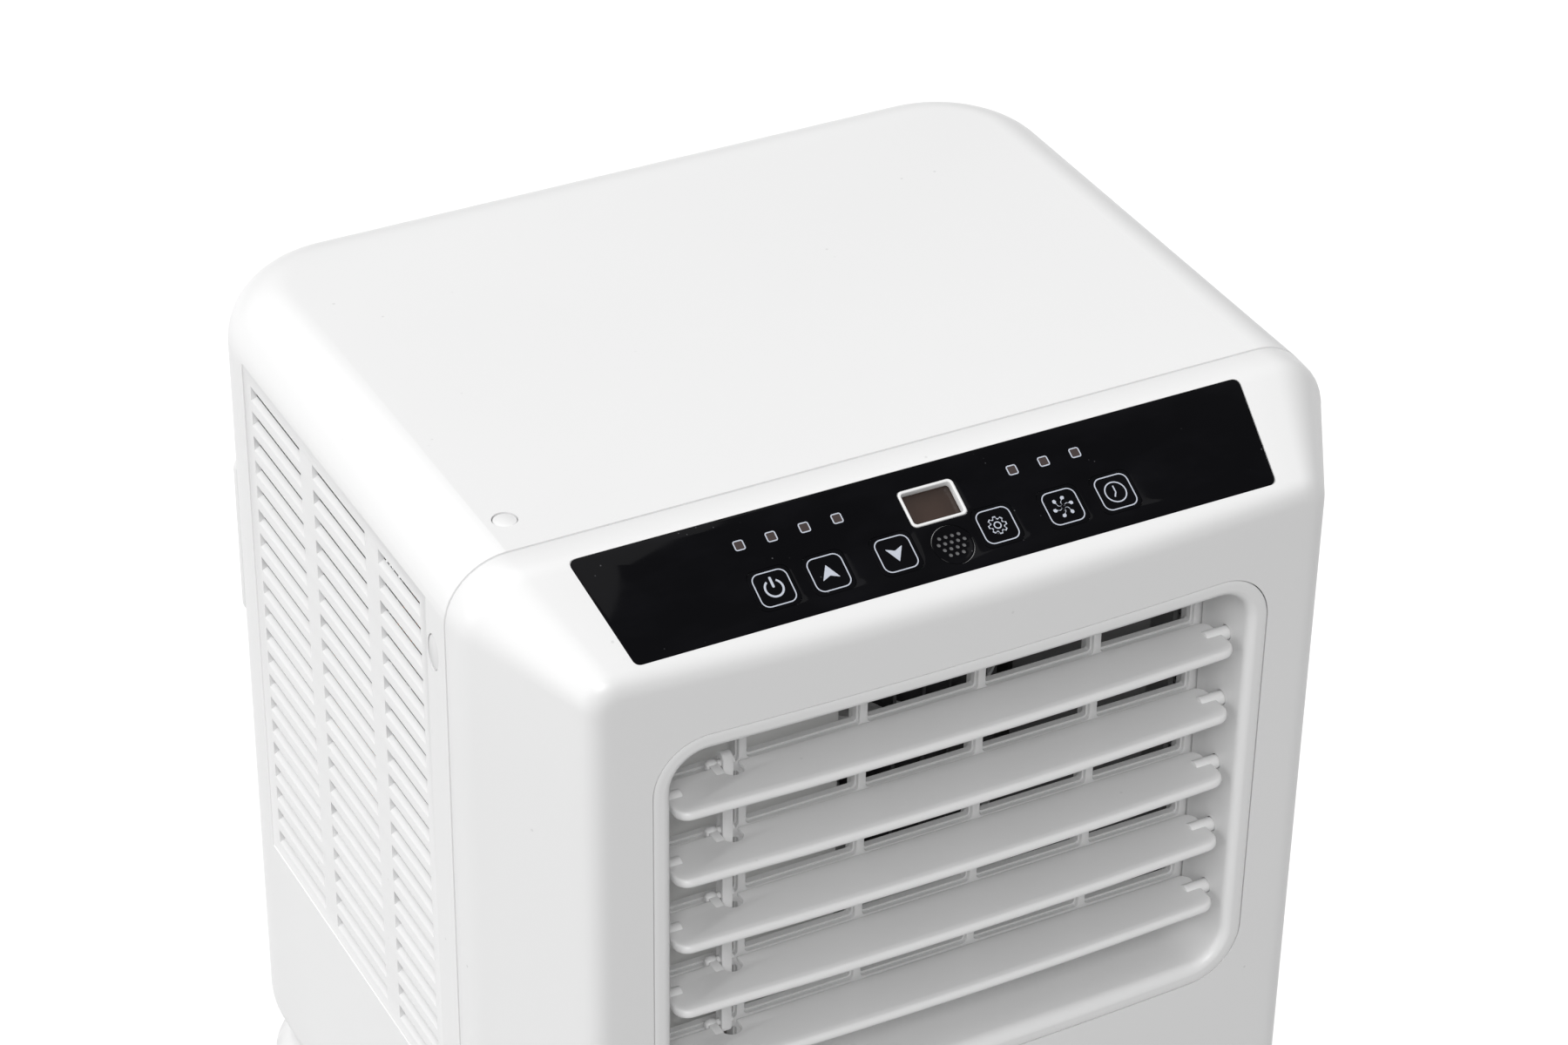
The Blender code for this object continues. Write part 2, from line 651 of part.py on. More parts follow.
def makeWheel(name, material, radius, height, blades, chord, axis, place, shaft):
    """A bladed fan wheel: back plate with hub and shaft, blades, and a ring at the open end."""
    plate = 0.0020
    profile = [(0, -shaft), (0.0040, -shaft), (0.0040, 0), (radius, 0), (radius, plate),
               (0.011, plate), (0.009, 0.016), (0, 0.016)]
    wheel = addObject(name, turned(profile, axis, blades), material, place)
    turn = Matrix() if axis == "Z" else Matrix.Rotation(-math.pi / 2, 4, "X")
    vanes = bmesh.new()
    for i in range(blades):
        verts = addBlock(vanes, (radius - chord - 0.0004, -0.0006, plate / 2),
                         (radius - 0.0004, 0.0006, height - plate / 2))
        lean = Matrix.Translation((radius, 0, 0)) @ Matrix.Rotation(0.6, 4, "Z")
        lean = lean @ Matrix.Translation((-radius, 0, 0))
        spun = turn @ Matrix.Rotation(math.tau * i / blades, 4, "Z") @ lean
        bmesh.ops.transform(vanes, matrix=spun, verts=verts)
    weld(wheel, vanes, place, "blades")
    ring = turned([(radius - chord, height - plate), (radius, height - plate), (radius, height),
                   (radius - chord, height)], axis, blades)
    weld(wheel, ring, place, "ring")


def makeMotor(name, material, radius, length, axis, place):
    """A motor can with a bearing boss and a blind bore that takes the wheel's shaft."""
    motor = addObject(name, turned([(0, -length), (radius, -length), (radius, -0.004),
                                    (0.012, -0.004), (0.012, 0), (0, 0)], axis, 20), material, place)
    bore = turned([(0, -0.024), (0.0041, -0.024), (0.0041, 0.01), (0, 0.01)], axis, 16)
    cut(motor, bore, place, "bore")


def wallOutline(points, thick):
    """A wall of even thickness along a line of points, as a closed outline."""
    left = []
    right = []
    for i, point in enumerate(points):
        before = Vector(points[max(i - 1, 0)])
        after = Vector(points[min(i + 1, len(points) - 1)])
        along = (after - before).normalized()
        side = Vector((-along.y, along.x)) * thick / 2
        left.append(tuple(Vector(point) + side))
        right.append(tuple(Vector(point) - side))
    return left + right[::-1]


def makeBlower(pale, dark, steel):
    x, depth = BLOWER
    y = PARTING_Y + depth
    low = fromTop(-0.222)
    floor = block((-0.107, PARTING_Y - 0.0155, low - 0.002), (0.107, PARTING_Y + 0.112, low))
    scroll = addObject("blower_scroll", floor, pale)
    radius = BLOWER_RADIUS + 0.006
    start = PARTING_Y - 0.0145
    left = [(-0.104, start), (-0.090, start + 0.002)]
    left += arc((x, y), radius + 0.012, 232, 208, 4) + arc((x - 0.006, y), radius + 0.006, 200, 110, 8)
    right = [(0.104, start), (0.104, PARTING_Y)] + arc((x, y), radius, -25, 10, 3)
    top = fromTop(-0.050)
    weld(scroll, prism(wallOutline(left, 0.002), low - 0.001, top), name="left_wall")
    weld(scroll, prism(wallOutline(right, 0.002), low - 0.001, top), name="right_wall")
    cut(scroll, rod(0.016, (x, y, low - 0.01), (x, y, low + 0.01)), name="eye")

    base = low + WHEEL_LIFT
    height = fromTop(WHEEL_TOP) - base
    makeWheel("blower_wheel", dark, BLOWER_RADIUS, height, 20, 0.011, "Z", (x, y, base), base - DECK_Z)
    makeMotor("blower_motor", steel, 0.036, 0.052, "Z", (x, y, DECK_Z + 0.0035))


def makeDeck(material):
    outline = planOutline(0.0010)
    deck = addObject("drip_deck", prism(outline, DECK_Z, DECK_Z + 0.020), material)
    cut(deck, prism(planOutline(0.0035), DECK_Z + 0.003, DECK_Z + 0.03), name="tray")
    x, depth = BLOWER
    y = PARTING_Y + depth
    holes = rod(0.0125, (x, y, DECK_Z - 0.01), (x, y, DECK_Z + 0.01))
    addBlock(holes, (-0.146, 0.045, DECK_Z - 0.01), (-0.122, 0.085, DECK_Z + 0.01))
    cut(deck, holes, name="holes")


def makeCoils(material):
    addObject(
        "evaporator_coil",
        block((-0.118, PARTING_Y + 0.130, fromTop(-0.222)), (0.118, PARTING_Y + 0.158, fromTop(-0.040))),
        material,
    )
    addObject("condenser_coil", block((-0.108, 0.092, 0.075), (0.108, 0.118, 0.262)), material)


def makeIntakeMeshes(material):
    for name, side in (("left_intake_mesh", -1), ("right_intake_mesh", 1)):
        ends = sorted((side * 0.1558, side * 0.1570))
        mesh = block((ends[0], PARTING_Y + 0.014, fromTop(-0.230)),
                     (ends[1], PARTING_Y + 0.170, fromTop(-0.022)))
        addObject(name, mesh, material)


def makeRearFilter(material):
    low = BACK_Y + 0.0005
    high = BACK_Y + 0.0050
    bottom = fromTop(FILTER_BOTTOM)
    top = fromTop(FILTER_TOP)
    rear = addObject("rear_filter", block((-FILTER_HALF, low, bottom), (FILTER_HALF, high, top)), material)
    tab = roundedBox(-0.147, -0.108, fromTop(-0.160), fromTop(-0.090), 0.006, 3)
    weld(rear, prism(tab, low, low + 0.003, "Y"), name="tab")
    holes = bmesh.new()
    columns = 4
    rows = 4
    edge = 0.008
    wide = (2 * FILTER_HALF - edge * (columns + 1)) / columns
    tall = (top - bottom - edge * (rows + 1)) / rows
    for i in range(columns):
        for j in range(rows):
            left = -FILTER_HALF + edge + i * (wide + edge)
            base = bottom + edge + j * (tall + edge)
            addBlock(holes, (left, low - 0.01, base), (left + wide, high + 0.01, base + tall))
    cut(rear, holes, name="windows")


# Refrigeration and exhaust


def makeExhaust(material, dark, steel):
    x, z = COLLAR
    inner = COLLAR_BORE
    outer = COLLAR_BORE + 0.0025
    flange = COLLAR_BORE + 0.010
    back = 0.0885 - BACK_Y
    profile = [(inner, back), (outer, back), (outer, GAP), (flange, GAP), (flange, 0.003),
               (outer, 0.003), (outer, REAR_PROUD), (inner, REAR_PROUD)]
    addObject("exhaust_collar", turned(profile, "Y", 28), material, (x, BACK_Y, z))

    case = addObject("condenser_scroll", block((-0.032, 0.030, 0.088), (0.122, 0.088, 0.405)), material)
    cut(case, block((-0.030, 0.032, 0.090), (0.120, 0.086, 0.403)), name="hollow")
    fanX, fanZ = FAN
    holes = rod(0.048, (fanX, 0.080, fanZ), (fanX, 0.095, fanZ))
    addRod(holes, COLLAR_BORE, (x, 0.080, z), (x, 0.095, z), 28)
    addRod(holes, 0.014, (fanX, 0.025, fanZ), (fanX, 0.035, fanZ))
    cut(case, holes, name="holes")
    makeWheel("condenser_fan", dark, 0.062, 0.040, 14, 0.014, "Y", (fanX, 0.040, fanZ), 0.025)
    makeMotor("condenser_motor", steel, 0.034, 0.050, "Y", (fanX, 0.034, fanZ))


def makeCompressor(material, dark):
    low = CASE_BOTTOM + 0.0043
    top = 0.222
    radius = 0.048
    profile = [(0, 0), (0.052, 0), (0.052, 0.004), (0.030, 0.004), (0.030, 0.012), (radius, 0.024),
               (radius, top - 0.030), (0.040, top - 0.010), (0.020, top), (0, top)]
    addObject("compressor", turned(profile, "Z", 20), material, (-0.098, -0.020, low))
    tank = [(0, 0), (0.010, 0.002), (0.018, 0.012), (0.018, 0.128), (0.010, 0.138), (0, 0.140)]
    addObject("accumulator", turned(tank, "Z", 14), dark, (-0.100, 0.055, 0.100))


def makePipe(name, material, points, radius):
    """A bent tube with rounded corners."""
    route = []
    for i, point in enumerate(points):
        if i in (0, len(points) - 1):
            route.append(Vector(point))
            continue
        corner = Vector(point)
        back = Vector(points[i - 1]) - corner
        ahead = Vector(points[i + 1]) - corner
        bend = min(radius * 3, back.length / 2.2, ahead.length / 2.2)
        before = corner + back.normalized() * bend
        after = corner + ahead.normalized() * bend
        for t in (0, 0.33, 0.67, 1):
            route.append(before.lerp(corner, t).lerp(corner.lerp(after, t), t))
    curve = bpy.data.curves.new(name, "CURVE")
    curve.dimensions = "3D"
    curve.bevel_depth = radius
    curve.bevel_resolution = 1
    curve.use_fill_caps = True
    spline = curve.splines.new("POLY")
    spline.points.add(len(route) - 1)
    for node, place in zip(spline.points, route):
        node.co = (*place, 1)
    curve.materials.append(material)
    item = bpy.data.objects.new(name, curve)
    bpy.context.scene.collection.objects.link(item)


def makePipes(copper):
    makePipe("discharge_pipe", copper, [
        (-0.098, -0.020, 0.2718), (-0.098, -0.020, 0.286), (-0.122, 0.010, 0.286),
        (-0.122, 0.103, 0.286), (-0.122, 0.103, 0.245), (-0.1084, 0.103, 0.245)], 0.0035)
    makePipe("suction_pipe", copper, [
        (-0.100, 0.055, 0.2405), (-0.100, 0.055, 0.320), (-0.129, 0.055, 0.350),
        (-0.129, 0.055, 0.520), (-0.1184, 0.055, 0.520)], 0.0045)
    makePipe("capillary_tube", copper, [
        (-0.1084, 0.112, 0.100), (-0.126, 0.112, 0.100), (-0.126, 0.112, 0.300),
        (-0.134, 0.076, 0.360), (-0.134, 0.076, 0.560), (-0.126, 0.064, 0.560),
        (-0.1184, 0.064, 0.560)], 0.0014)


def makeElectrics(grey, steel):
    box = addObject("electrical_box", block((-0.136, -0.062, 0.300), (-0.048, 0.028, 0.405)), grey)
    cut(box, block((-0.134, -0.060, 0.302), (-0.050, 0.026, 0.410)), name="inside")
    addObject("electrical_lid", block((-0.136, -0.062, 0.4053), (-0.048, 0.028, 0.408)), grey)
    addObject("run_capacitor", rod(0.018, (0, 0, -0.035), (0, 0, 0.035)), steel, (-0.090, -0.015, 0.340))


# Base


def makeBase(material, rubber):
    outline = planOutline(0.0010)
    pan = addObject("base_pan", prism(outline, CASE_BOTTOM, CASE_BOTTOM + 0.026), material)
    cut(pan, prism(planOutline(0.0035), CASE_BOTTOM + 0.004, CASE_BOTTOM + 0.04), name="tray")
    holes = bmesh.new()
    for x, y in casterPlaces():
        addRod(holes, 0.0052, (x, y, CASE_BOTTOM - 0.01), (x, y, CASE_BOTTOM + 0.0035))
    level = DRAINS["lower_drain_plug"]
    addRod(holes, 0.0063, (DRAIN_X, BACK_Y - 0.012, level), (DRAIN_X, BACK_Y + 0.01, level))
    cut(pan, holes, name="holes")

    cap = [(0, -0.0065), (0.0060, -0.0065), (0.0060, GAP), (0.0090, GAP), (0.0090, 0.003),
           (0.0030, 0.003), (0.0030, 0.007), (0, 0.007)]
    for name, height in DRAINS.items():
        addObject(name, turned(cap, "Y", 14), rubber, (DRAIN_X, BACK_Y, height))
    bush = [(0.0036, -0.008), (0.0070, -0.008), (0.0070, GAP), (0.0105, GAP), (0.0105, 0.002),
            (0.0070, 0.009), (0.0036, 0.009)]
    addObject("cord_inlet_gland", turned(bush, "Y", 16), rubber, (DRAIN_X, BACK_Y, 0.300))


def casterPlaces():
    return [(side * CASTER_X, PARTING_Y + depth)
            for depth in (CASTER_FRONT, CASTER_REAR) for side in (-1, 1)]


def makeCasters(dark, steel, rubber):
    names = ("front_left", "front_right", "rear_left", "rear_right")
    inner = 0.0086
    top = CASE_BOTTOM - GAP
    width = 0.0080
    fork = wheel = axle = None
    for name, (x, y) in zip(names, casterPlaces()):
        forkPlace = (x, y, 0)
        wheelPlace = (x, y + CASTER_TRAIL, WHEEL_RADIUS)
        if fork:
            addCopy("caster_fork_" + name, fork, forkPlace)
            addCopy("caster_wheel_" + name, wheel, wheelPlace)
            addCopy("caster_axle_" + name, axle, wheelPlace)
            continue
        head = turned([(0, 0.0355), (0.0170, 0.0355), (0.0170, top), (0.0048, top),
                       (0.0048, top + 0.0032), (0, top + 0.0032)], "Z", 12)
        fork = addObject("caster_fork_" + name, head, dark, forkPlace)
        for side, word in ((-1, "left_arm"), (1, "right_arm")):
            ends = sorted((side * inner, side * (inner + 0.003)))
            arm = prism([(-0.010, 0.037), (0.013, 0.037), (CASTER_TRAIL + 0.006, WHEEL_RADIUS + 0.002),
                         (CASTER_TRAIL + 0.003, WHEEL_RADIUS - 0.005),
                         (CASTER_TRAIL - 0.003, WHEEL_RADIUS - 0.005)], ends[0], ends[1], "X")
            weld(fork, arm, forkPlace, word)
        bore = rod(0.0026, (-0.02, CASTER_TRAIL, WHEEL_RADIUS), (0.02, CASTER_TRAIL, WHEEL_RADIUS), 16)
        cut(fork, bore, forkPlace, "bore")
        tread = [(0.0026, -width), (0.0026, width), (0.0150, width), (WHEEL_RADIUS, width - 0.0015),
                 (WHEEL_RADIUS, -width + 0.0015), (0.0150, -width)]
        wheel = addObject("caster_wheel_" + name, turned(tread, "X", 20), rubber, wheelPlace)
        pin = rod(0.0025, (-inner - 0.003, 0, 0), (inner + 0.003, 0, 0), 20)
        axle = addObject("caster_axle_" + name, pin, steel, wheelPlace)


def main():
    clearScene()
    white = makeMaterial("casing_white", (0.86, 0.86, 0.85), 0.28)
    pale = makeMaterial("inner_white", (0.80, 0.80, 0.79), 0.40)
    black = makeMaterial("label_black", (0.01, 0.01, 0.012), 0.12)
    dark = makeMaterial("dark_plastic", (0.10, 0.10, 0.11), 0.50)
    lens = makeMaterial("display_brown", (0.05, 0.03, 0.025), 0.08)
    green = makeMaterial("board_green", (0.03, 0.20, 0.09), 0.45)
    steel = makeMaterial("zinc_steel", (0.55, 0.56, 0.58), 0.35, 0.9)
    enamel = makeMaterial("black_enamel", (0.02, 0.02, 0.02), 0.30)
    fins = makeMaterial("fin_aluminium", (0.70, 0.71, 0.73), 0.40, 0.9)
    copper = makeMaterial("copper", (0.72, 0.36, 0.20), 0.30, 1.0)
    rubber = makeMaterial("rubber", (0.03, 0.03, 0.03), 0.75)

    makeCasing(white)
    makeScrewPlugs(white)
    makeFrontPanel(white)
    makeLabel(black, lens, green)
    makeOutlet(white)
    makeGrid(white)
    makeLouvres(white)
    makeBlower(pale, dark, steel)
    makeDeck(pale)
    makeCoils(fins)
    makeIntakeMeshes(pale)
    makeRearFilter(pale)
    makeExhaust(pale, dark, steel)
    makeCompressor(enamel, enamel)
    makePipes(copper)
    makeElectrics(pale, steel)
    makeBase(pale, rubber)
    makeCasters(dark, steel, rubber)


main()
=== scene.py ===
import math

import bmesh
import bpy
from mathutils import Matrix, Vector


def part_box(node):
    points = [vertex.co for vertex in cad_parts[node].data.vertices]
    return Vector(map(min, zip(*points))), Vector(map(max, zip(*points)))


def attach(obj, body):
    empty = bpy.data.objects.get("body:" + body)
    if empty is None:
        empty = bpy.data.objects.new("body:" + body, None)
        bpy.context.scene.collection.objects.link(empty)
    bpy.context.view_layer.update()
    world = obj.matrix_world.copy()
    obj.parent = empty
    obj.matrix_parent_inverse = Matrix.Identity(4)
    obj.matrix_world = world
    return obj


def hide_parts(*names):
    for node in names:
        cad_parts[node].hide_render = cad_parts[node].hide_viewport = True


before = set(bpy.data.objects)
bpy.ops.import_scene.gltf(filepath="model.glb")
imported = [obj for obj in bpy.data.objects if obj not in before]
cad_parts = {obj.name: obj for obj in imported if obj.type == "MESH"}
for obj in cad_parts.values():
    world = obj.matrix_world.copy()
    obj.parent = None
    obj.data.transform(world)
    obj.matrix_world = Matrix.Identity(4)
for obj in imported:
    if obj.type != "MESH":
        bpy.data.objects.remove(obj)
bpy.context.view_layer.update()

print("frame loaded:", len(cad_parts), "nodes")

mm = 0.001
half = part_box("rear_casing")[1].x          # half of the casing's width
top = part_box("rear_casing")[1].z
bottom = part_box("rear_casing")[0].z
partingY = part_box("rear_casing")[0].y
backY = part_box("rear_filter")[0].y - 0.5 * mm
wall = 2.5 * mm


# Shader graphs

class Wire:
    # one output of a node, with sums written as plain Python
    def __init__(self, graph, socket):
        self.graph = graph
        self.socket = socket

    def sum(self, operation, first, second, clamp=False):
        return self.graph.add("ShaderNodeMath", {"operation": operation, "use_clamp": clamp},
                              {0: first, 1: second})

    def __add__(self, other):
        return self.sum("ADD", self, other)

    __radd__ = __add__

    def __mul__(self, other):
        return self.sum("MULTIPLY", self, other)

    __rmul__ = __mul__

    def __sub__(self, other):
        return self.sum("SUBTRACT", self, other)

    def __rsub__(self, other):
        return self.sum("SUBTRACT", other, self)

    def above(self, level, softness):
        # 0 below the level, 1 above it, with a soft step between
        return self.sum("MULTIPLY", self - level, 1 / softness, True)


class Graph:
    # a material and the few nodes that these finishes are made of
    def __init__(self, name, colour, roughness, metallic=0.0, coat=0.0):
        self.material = bpy.data.materials.new(name)
        self.material.use_nodes = True
        self.tree = self.material.node_tree
        self.shader = self.tree.nodes["Principled BSDF"]
        self.put("Base Color", (*colour, 1))
        self.put("Roughness", roughness)
        self.put("Metallic", metallic)
        self.put("Coat Weight", coat)
        self.coords = self.add("ShaderNodeTexCoord", {}, {}, "Object")

    def add(self, kind, settings, values, output=0):
        node = self.tree.nodes.new(kind)
        for key, value in settings.items():
            setattr(node, key, value)
        for key, value in values.items():
            self.join(node.inputs[key], value)
        return Wire(self, node.outputs[output])

    def join(self, socket, value):
        if isinstance(value, Wire):
            self.tree.links.new(value.socket, socket)
        else:
            socket.default_value = value

    def put(self, socket, value):
        self.join(self.shader.inputs[socket], value)

    def place(self, scale=(1, 1, 1), turn=(0, 0, 0)):
        return self.add("ShaderNodeMapping", {}, {"Vector": self.coords, "Scale": scale, "Rotation": turn})

    def noise(self, scale, detail=2.0, stretch=(1, 1, 1)):
        return self.add("ShaderNodeTexNoise", {},
                        {"Vector": self.place(stretch), "Scale": scale, "Detail": detail})

    def cells(self, scale, randomness=1.0):
        return self.add("ShaderNodeTexVoronoi", {},
                        {"Vector": self.coords, "Scale": scale, "Randomness": randomness})

    def blend(self, factor, first, second):
        return self.add("ShaderNodeMix", {"data_type": "RGBA"}, {0: factor, 6: first, 7: second}, 2)

    def bump(self, height, strength, distance, under=None):
        values = {"Height": height, "Strength": strength, "Distance": distance}
        if under:
            values["Normal"] = under
        return self.add("ShaderNodeBump", {}, values)


def shade(colour, factor):
    return tuple(min(1, part * factor) for part in colour) + (1,)


def plasticFinish(name, colour, roughness, grain=0.25, dust=0.35, edge=0.06, coat=0.0):
    # moulded plastic: a fine spark-eroded skin, faint flow marks, dust specks and a painted highlight along
    # sharp edges
    graph = Graph(name, colour, roughness, coat=coat)
    flow = graph.noise(6, 3)
    skin = graph.noise(2600, 2)
    ripple = graph.noise(34, 2)
    specks = graph.cells(95)
    spot = (1 - specks.above(0.035, 0.03)) * graph.noise(21, 1).above(0.56, 0.05) * dust
    # painted highlight: sharp edges (by pointiness) get a lighter colour, edge sets how strong
    rim = graph.add("ShaderNodeNewGeometry", {}, {}, "Pointiness").above(0.53, 0.10)
    tone = graph.blend(flow, shade(colour, 0.985), shade(colour, 1.008))
    tone = graph.blend(spot, tone, shade(colour, 0.55))
    tone = graph.blend(rim * edge, tone, shade(colour, 1.12))
    graph.put("Base Color", tone)
    graph.put("Roughness", roughness - 0.05 + flow * 0.05 + ripple * 0.05 + spot * 0.3)
    fine = graph.bump(skin, grain, 0.00003)
    graph.put("Normal", graph.bump(ripple, 0.10, 0.0002, fine))
    return graph.material


def filmFinish():
    # the control label: gloss film over black, with specks of dust and faint finger marks
    colour = (0.0032, 0.0032, 0.0040)
    graph = Graph("gloss black film", colour, 0.10)
    graph.put("Specular IOR Level", 0.05)
    smear = graph.noise(42, 4, (1, 2.2, 1)).above(0.46, 0.3)
    specks = graph.cells(320)
    spot = (1 - specks.above(0.05, 0.05)) * graph.noise(60, 1).above(0.60, 0.05)
    tone = graph.blend(smear * 0.5, shade(colour, 1), shade(colour, 1.9))
    graph.put("Base Color", graph.blend(spot * 0.5, tone, (0.16, 0.16, 0.17, 1)))
    graph.put("Roughness", 0.07 + smear * 0.07 + spot * 0.4)
    graph.put("Normal", graph.bump(graph.noise(18, 1), 0.05, 0.0004))
    return graph.material


def inkFinish():
    # silk-screened ink, a cool pale grey with a slightly broken surface
    colour = (0.50, 0.53, 0.60)
    graph = Graph("pale printed ink", colour, 0.42)
    patch = graph.noise(1400, 3)
    graph.put("Base Color", graph.blend(patch, shade(colour, 0.86), shade(colour, 1.10)))
    graph.put("Roughness", 0.34 + patch * 0.16)
    graph.put("Normal", graph.bump(patch, 0.2, 0.00002))
    return graph.material


def lensFinish():
    # smoked display lens, brown with a paler streak and fine scratches
    colour = (0.030, 0.019, 0.015)
    graph = Graph("smoked display lens", colour, 0.09)
    streak = graph.noise(60, 2, (1, 0.2, 1))
    scratch = graph.noise(900, 2, (1, 0.04, 1)).above(0.62, 0.06)
    graph.put("Base Color", graph.blend(streak, shade(colour, 0.7), shade(colour, 1.9)))
    graph.put("Roughness", 0.06 + scratch * 0.2)
    graph.put("Normal", graph.bump(scratch, 0.06, 0.00002))
    return graph.material


def metalFinish(name, colour, roughness, stretch, strength=0.15):
    # drawn or rolled metal: long grain one way, blotchy oxide and small scratches
    graph = Graph(name, colour, roughness, 1.0)
    grain = graph.noise(420, 3, stretch)
    cloud = graph.noise(24, 4)
    scratch = graph.noise(240, 2, (stretch[1], stretch[2], stretch[0])).above(0.66, 0.05)
    graph.put("Base Color", graph.blend(cloud, shade(colour, 0.72), shade(colour, 1.12)))
    graph.put("Roughness", roughness - 0.08 + grain * 0.10 + cloud * 0.12)
    graph.put("Normal", graph.bump(grain + scratch * 0.6, strength, 0.00006))
    return graph.material


def enamelFinish():
    # stoved black enamel with orange peel and rubbed high spots
    colour = (0.012, 0.012, 0.013)
    graph = Graph("black enamel", colour, 0.26, coat=0.4)
    peel = graph.noise(300, 2)
    worn = graph.noise(14, 5).above(0.58, 0.14)
    graph.put("Base Color", graph.blend(worn, shade(colour, 1), (0.05, 0.05, 0.055, 1)))
    graph.put("Roughness", 0.20 + worn * 0.28)
    graph.put("Normal", graph.bump(peel, 0.25, 0.0001))
    return graph.material


def rubberFinish(name, colour, roughness=0.72):
    # matt rubber with a powdery bloom
    graph = Graph(name, colour, roughness)
    bloom = graph.noise(38, 4).above(0.45, 0.4)
    skin = graph.noise(1500, 2)
    graph.put("Base Color", graph.blend(bloom * 0.6, shade(colour, 0.85), shade(colour, 1.8)))
    graph.put("Roughness", roughness - 0.08 + bloom * 0.2)
    graph.put("Normal", graph.bump(skin, 0.4, 0.00008))
    return graph.material


def boardFinish():
    # printed circuit board: green mask over paler copper tracks
    graph = Graph("circuit board mask", (0.02, 0.15, 0.07), 0.32)
    tracks = graph.cells(260, 0.2).above(0.42, 0.04)
    cloud = graph.noise(30, 2)
    tone = graph.blend(tracks, (0.016, 0.13, 0.06, 1), (0.03, 0.24, 0.11, 1))
    graph.put("Base Color", graph.blend(cloud * 0.25, tone, (0.01, 0.09, 0.05, 1)))
    graph.put("Roughness", 0.28 + cloud * 0.12)
    graph.put("Normal", graph.bump(tracks, 0.4, 0.00006))
    return graph.material


def floorFinish():
    graph = Graph("studio floor", (0.97, 0.97, 0.97), 0.85)
    graph.put("Roughness", 0.80 + graph.noise(3, 2) * 0.1)
    return graph.material


finishes = {
    "casing": plasticFinish("satin white casing", (0.78, 0.78, 0.78), 0.34),
    "panel": plasticFinish("satin white panel", (0.78, 0.78, 0.78), 0.34),
    "louvre": plasticFinish("white louvre plastic", (0.78, 0.78, 0.78), 0.34, grain=0.2, dust=0.2),
    "inner": plasticFinish("pale inner plastic", (0.66, 0.66, 0.65), 0.42, dust=0.5),
    "scroll": plasticFinish("pale scroll plastic", (0.72, 0.72, 0.71), 0.45, grain=0.5, dust=0.6),
    "wheel": plasticFinish("grey fan plastic", (0.80, 0.80, 0.80), 0.45, dust=0.6),
    "well": plasticFinish("shaded fan plastic", (0.015, 0.015, 0.016), 0.6, dust=0.1),
    # the charcoal and sensor cover finishes get a stronger painted edge highlight (edge)
    "dark": plasticFinish("charcoal plastic", (0.045, 0.046, 0.050), 0.46, dust=0.1, edge=0.4),
    "mesh": plasticFinish("grey filter weave", (0.42, 0.43, 0.44), 0.6, dust=0.5),
    "film": filmFinish(),
    "ink": inkFinish(),
    "lens": lensFinish(),
    "steel": metalFinish("zinc plated steel", (0.58, 0.59, 0.61), 0.34, (1, 1, 0.1)),
    "fins": metalFinish("aluminium fin stock", (0.72, 0.73, 0.75), 0.38, (1, 1, 0.06)),
    "copper": metalFinish("drawn copper tube", (0.74, 0.36, 0.21), 0.28, (1, 1, 0.2), 0.08),
    "enamel": enamelFinish(),
    "rubber": rubberFinish("black rubber", (0.022, 0.022, 0.023)),
    "tyre": rubberFinish("grey castor tyre", (0.09, 0.09, 0.095), 0.6),
    "board": boardFinish(),
    "lamp": plasticFinish("smoked lamp window", (0.050, 0.036, 0.034), 0.2, dust=0),
    # painted shade: the dark finish given to the blower's right wall, standing in for its shadow
    "shade": plasticFinish("painted shade duct plastic", (0.10, 0.10, 0.10), 0.5, dust=0.4),
    "cover": plasticFinish("black sensor cover", (0.012, 0.012, 0.014), 0.3, dust=0.1, edge=0.8),
    "plug": plasticFinish("pale grey plug", (0.72, 0.72, 0.72), 0.38, dust=0.2),
    "sieve": plasticFinish("grey sieve", (0.13, 0.13, 0.135), 0.35, dust=0.2),
}


# Shapes

def boxShape(low, high, bm=None):
    bm = bm or bmesh.new()
    low, high = Vector(low), Vector(high)
    verts = bmesh.ops.create_cube(bm, size=1.0)["verts"]
    bmesh.ops.scale(bm, vec=high - low, verts=verts)
    bmesh.ops.translate(bm, vec=(high + low) / 2, verts=verts)
    return bm


def rodShape(radius, start, end, segments=32, bm=None, tip=None):
    bm = bm or bmesh.new()
    start, end = Vector(start), Vector(end)
    turn = Vector((0, 0, 1)).rotation_difference(end - start).to_matrix().to_4x4()
    bmesh.ops.create_cone(bm, cap_ends=True, segments=segments, radius1=radius,
                          radius2=radius if tip is None else tip, depth=(end - start).length,
                          matrix=Matrix.Translation((start + end) / 2) @ turn)
    return bm


def pushed(points, step, bm=None):
    # a flat outline pushed along a step
    bm = bm or bmesh.new()
    face = bm.faces.new([bm.verts.new(point) for point in points])
    made = bmesh.ops.extrude_face_region(bm, geom=[face])
    verts = [item for item in made["geom"] if isinstance(item, bmesh.types.BMVert)]
    bmesh.ops.translate(bm, vec=step, verts=verts)
    return bm


def turnedShape(profile, place=(0, 0, 0), axis="Z", segments=48, closed=True):
    # (radius, height) pairs spun round an axis
    bm = bmesh.new()
    verts = [bm.verts.new((radius, 0, height)) for radius, height in profile]
    pairs = zip(verts, verts[1:] + verts[:1]) if closed else zip(verts, verts[1:])
    edges = [bm.edges.new(pair) for pair in pairs]
    bmesh.ops.spin(bm, geom=verts + edges, cent=(0, 0, 0), axis=(0, 0, 1), angle=math.tau,
                   steps=segments, use_merge=True, use_duplicate=False)
    bmesh.ops.remove_doubles(bm, verts=bm.verts, dist=0.000005)
    turn = {"Z": Matrix(), "X": Matrix.Rotation(math.pi / 2, 4, "Y"),
            "Y": Matrix.Rotation(-math.pi / 2, 4, "X")}[axis]
    bmesh.ops.transform(bm, matrix=Matrix.Translation(place) @ turn, verts=bm.verts)
    return bm


